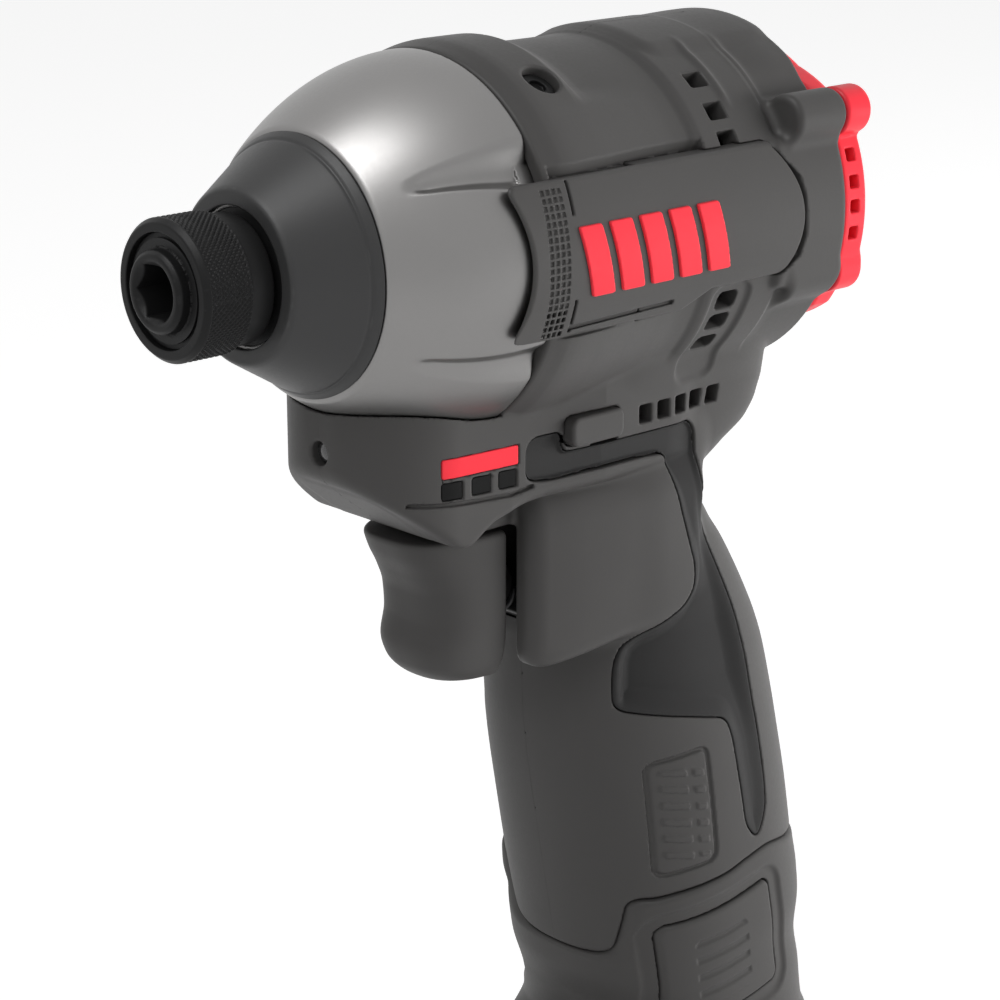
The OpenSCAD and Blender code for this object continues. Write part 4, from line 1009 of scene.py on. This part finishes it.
for side, word in ((1, "left"), (-1, "right")):
    y0, y1 = span(side, 0.0, 27.4)
    dress(sculpt(word + "_body_shell", housing_field(side), (-110.0, y0, -109.4), (-23.4, y1, 26.8),
                 COARSE, housing_field(side, False), side * SEAM), word + "_housing")
    y0, y1 = span(side, 14.5, 27.4)
    dress(sculpt(word + "_panel_cover", panel_field(side), (-89, y0, -9.5), (-34.5, y1, 11.8), FINE),
          word + "_side_panel")
    dress(sculpt(word + "_panel_dashes", dash_field(side), (-74.5, y0, -4.3), (-44.5, y1, 5.9), MIDDLE),
          word + "_side_panel", "red_plastic", False)
    y0, y1 = span(side, 3.5, 21.5)
    dress(sculpt(word + "_grip_pad", insert_field(side), (-92, y0, -93), (-45.8, y1, -23.8), MIDDLE),
          word + "_grip")
    dress(sculpt(word + "_release", button_field(side), (-97, y0, -121), (-71, y1, -97), MIDDLE),
          word + "_button")

for name, node, field, low, high, step in (
        ("metal_case", "hammer_case", case_field, (-68, -25.6, -25.6), (-11.5, 25.6, 25.6), COARSE),
        ("rear_cover", "rear_cap", cap_field, (-102.8, -26.2, -24.8), (-96.6, 26.2, 24.8), MIDDLE),
        ("anvil_body", "anvil", anvil_field, (-31.4, -8.4, -15.4), (1.7, 8.4, 15.4), FINE),
        ("band_screws", "case_screws", screw_field, (-53, -15.4, 9.5), (-47.6, 15.4, 23.6), FINE),
        ("body_screws", "housing_screws", housing_screw_field, (-97, -13, -74), (-39, 10.8, -28.4), MIDDLE),
        ("trigger_lever", "trigger", trigger_field, (-57.8, -9.6, -61), (-33.8, 9.6, -38.4), MIDDLE),
        ("switch_unit", "switch_body", switch_field, (-78.2, -10.4, -58.4), (-54.9, 10.4, -36.6), MIDDLE),
        ("battery_shell", "battery_base", base_field, (-116, -23.2, -146.4), (-55.4, 23.2, -92.8), COARSE),
        ("direction_bar", "selector_slide", selector_field, (-63, -18, -38.4), (-52.5, 18, -22.1), MIDDLE),
        ("gauge_cells", "gauge_windows", gauge_field, (-45.4, 11.8, -31), (-32.3, 16.2, -27.5), FINE),
        ("gauge_strip", "gauge_label", label_field, (-45.6, 11.8, -28), (-32.3, 16.2, -24.4), FINE),
        ("lamp_lens", "led_lens", lens_field, (-26.6, -1.8, -27), (-24.3, 1.8, -23.2), FINE)):
    dress(sculpt(name, field, low, high, step), node)

bumper_outline = ((-11.2, 9.0), (-11.2, 10.9), (-11.65, 11.35), (-19.4, 15.9), (-19.75, 15.95),
                  (-20.0, 16.35), (-20.9, 17.0), (-21.1, 16.9), (-21.1, 10.45), (-11.95, 10.45),
                  (-11.95, 9.0))
dress(lathe("nose_ring", filled(rounded(bumper_outline, 0.3), 0.5), 160), "nose_bumper")
sleeve_outline = ((0.0, 7.25), (0.0, 8.4), (-0.7, 9.0), (-7.0, 9.0), (-7.4, 8.35), (-10.8, 8.3),
                  (-10.8, 6.6), (-9.45, 6.6), (-7.05, 5.78), (-7.0, 5.7), (-5.4, 5.7), (-5.4, 7.25))
dress(lathe("knurled_sleeve", filled(rounded(sleeve_outline, 0.18, 3), 0.09), 648, knurl), "chuck_sleeve")


def spring(node, piece):
    """A coil in place of a spring node, riding with the node's body."""
    piece.data.materials.append(finish["spring_steel"])
    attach(piece, body_of[node])
    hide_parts(node)
    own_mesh(piece)


spring("hammer_spring",
       coil("hammer_coil", -40.8, -55.9, 12.2, 0.95, 3.75, lambda a, b, c: (a, b, c)))
spring("sleeve_spring",
       coil("sleeve_coil", -1.75, -4.95, 6.45, 0.28, 3, lambda a, b, c: (a, b, c)))
spring("trigger_spring",
       coil("trigger_coil", -43.75, -54.85, 4.2, 0.38, 5, lambda a, b, c: (a, b, c + PLUNGER_Z)))
for side, word in ((1, "left"), (-1, "right")):
    spring(word + "_button_spring",
           coil(word + "_button_coil", side * 11.35, side * 14.35, 2.0, 0.28, 3.5,
                lambda a, b, c: (b - 79, a, c - 111)))

# Floor, light and camera
FLOOR_Z = cad_box[0][2] - 0.0001
FLOOR_REACH = 12.0
FLOOR_GLOW = 0.69
FLOOR_BOUNCE = 0.25
SKY_LOW, SKY_HIGH = 0.27, 0.31


def floor_material():
    mat = bpy.data.materials.new("floor")
    mat.use_nodes = True
    nodes, links = mat.node_tree.nodes, mat.node_tree.links
    nodes.clear()
    out = nodes.new("ShaderNodeOutputMaterial")
    pale = nodes.new("ShaderNodeBsdfDiffuse")
    pale.inputs["Color"].default_value = (0.7, 0.7, 0.7, 1)
    glow = nodes.new("ShaderNodeEmission")
    seen = nodes.new("ShaderNodeLightPath")
    lift = nodes.new("ShaderNodeMath")
    lift.operation = "MULTIPLY"
    lift.inputs[1].default_value = FLOOR_GLOW
    shown = nodes.new("ShaderNodeMath")
    shown.operation = "MAXIMUM"
    links.new(seen.outputs["Is Camera Ray"], shown.inputs[0])
    links.new(seen.outputs["Is Glossy Ray"], shown.inputs[1])
    links.new(shown.outputs[0], lift.inputs[0])
    soft = nodes.new("ShaderNodeMath")
    soft.operation = "MULTIPLY"
    soft.inputs[1].default_value = FLOOR_BOUNCE
    links.new(seen.outputs["Is Diffuse Ray"], soft.inputs[0])
    total = nodes.new("ShaderNodeMath")
    links.new(lift.outputs[0], total.inputs[0])
    links.new(soft.outputs[0], total.inputs[1])
    links.new(total.outputs[0], glow.inputs["Strength"])
    both = nodes.new("ShaderNodeAddShader")
    links.new(pale.outputs[0], both.inputs[0])
    links.new(glow.outputs[0], both.inputs[1])
    links.new(both.outputs[0], out.inputs["Surface"])
    return mat


floor_mesh = bpy.data.meshes.new("floor")
floor_corners = [(u * FLOOR_REACH, v * FLOOR_REACH, FLOOR_Z) for u, v in ((-1, -1), (1, -1), (1, 1), (-1, 1))]
floor_mesh.from_pydata(floor_corners, [], [(0, 1, 2, 3)])
floor = bpy.data.objects.new("floor", floor_mesh)
bpy.context.scene.collection.objects.link(floor)
floor.data.materials.append(floor_material())

# A soft sky lights the object; camera, glossy and transmitted rays see plain white
world = bpy.data.worlds.new("studio")
bpy.context.scene.world = world
world.use_nodes = True
wn, wl = world.node_tree.nodes, world.node_tree.links
wn.clear()
world_out = wn.new("ShaderNodeOutputWorld")
ambient = wn.new("ShaderNodeBackground")
ambient.inputs["Color"].default_value = (1, 1, 1, 1)
heading = wn.new("ShaderNodeTexCoord")
split = wn.new("ShaderNodeSeparateXYZ")
wl.new(heading.outputs["Generated"], split.inputs[0])
fade = wn.new("ShaderNodeMapRange")
fade.inputs["From Min"].default_value = 0.0
fade.inputs["From Max"].default_value = 1.0
fade.inputs["To Min"].default_value = SKY_LOW
fade.inputs["To Max"].default_value = SKY_HIGH
wl.new(split.outputs["Z"], fade.inputs["Value"])
wl.new(fade.outputs["Result"], ambient.inputs["Strength"])
white = wn.new("ShaderNodeBackground")
white.inputs["Color"].default_value = (1, 1, 1, 1)
white.inputs["Strength"].default_value = 1.0
rays = wn.new("ShaderNodeLightPath")
clear = wn.new("ShaderNodeMath")
clear.operation = "MAXIMUM"
wl.new(rays.outputs["Is Glossy Ray"], clear.inputs[0])
wl.new(rays.outputs["Is Transmission Ray"], clear.inputs[1])
plain = wn.new("ShaderNodeMath")
plain.operation = "MAXIMUM"
wl.new(rays.outputs["Is Camera Ray"], plain.inputs[0])
wl.new(clear.outputs[0], plain.inputs[1])
pick = wn.new("ShaderNodeMixShader")
wl.new(plain.outputs[0], pick.inputs["Fac"])
wl.new(ambient.outputs[0], pick.inputs[1])
wl.new(white.outputs[0], pick.inputs[2])
wl.new(pick.outputs[0], world_out.inputs["Surface"])

AIM = Vector((-0.062, 0.0, -0.055))


def lamp(name, place, width, height, watts, mirrored, lights):
    """An area lamp turned to the object, seen in reflections or lighting surfaces as asked."""
    data = bpy.data.lights.new(name, "AREA")
    data.shape = "RECTANGLE"
    data.size = width
    data.size_y = height
    data.energy = watts
    obj = bpy.data.objects.new(name, data)
    obj.location = place
    obj.rotation_euler = (AIM - Vector(place)).to_track_quat("-Z", "Y").to_euler()
    obj.visible_glossy = mirrored
    obj.visible_diffuse = lights
    bpy.context.scene.collection.objects.link(obj)
    return obj


lamp("side", (-0.85, 0.58, -0.01), 0.8, 0.24, 12.5, False, True)
lamp("front", (0.55, 0.25, 0.55), 0.5, 0.5, 2.2, False, True)
lamp("overhead", (0.3, 0.02, 0.72), 0.46, 0.46, 5.0, True, False)

# The photograph's camera, fitted to circles on the output axis
camera_data = bpy.data.cameras.new("camera")
camera_data.sensor_width = 36.0
camera_data.lens = 100.8
camera_data.clip_start = 0.01
camera = bpy.data.objects.new("camera", camera_data)
right = Vector((-0.727, 0.686, 0.0))
up = Vector((-0.2023, -0.2144, 0.9551))
away = Vector((0.6559, 0.6949, 0.2949))
turn = Matrix((right, up, away)).transposed().to_4x4()
camera.matrix_world = Matrix.Translation(Vector((0.1968, 0.268, 0.0756))) @ turn
bpy.context.scene.collection.objects.link(camera)
bpy.context.scene.camera = camera
bpy.context.scene.view_settings.view_transform = "Standard"

bpy.context.view_layer.update()
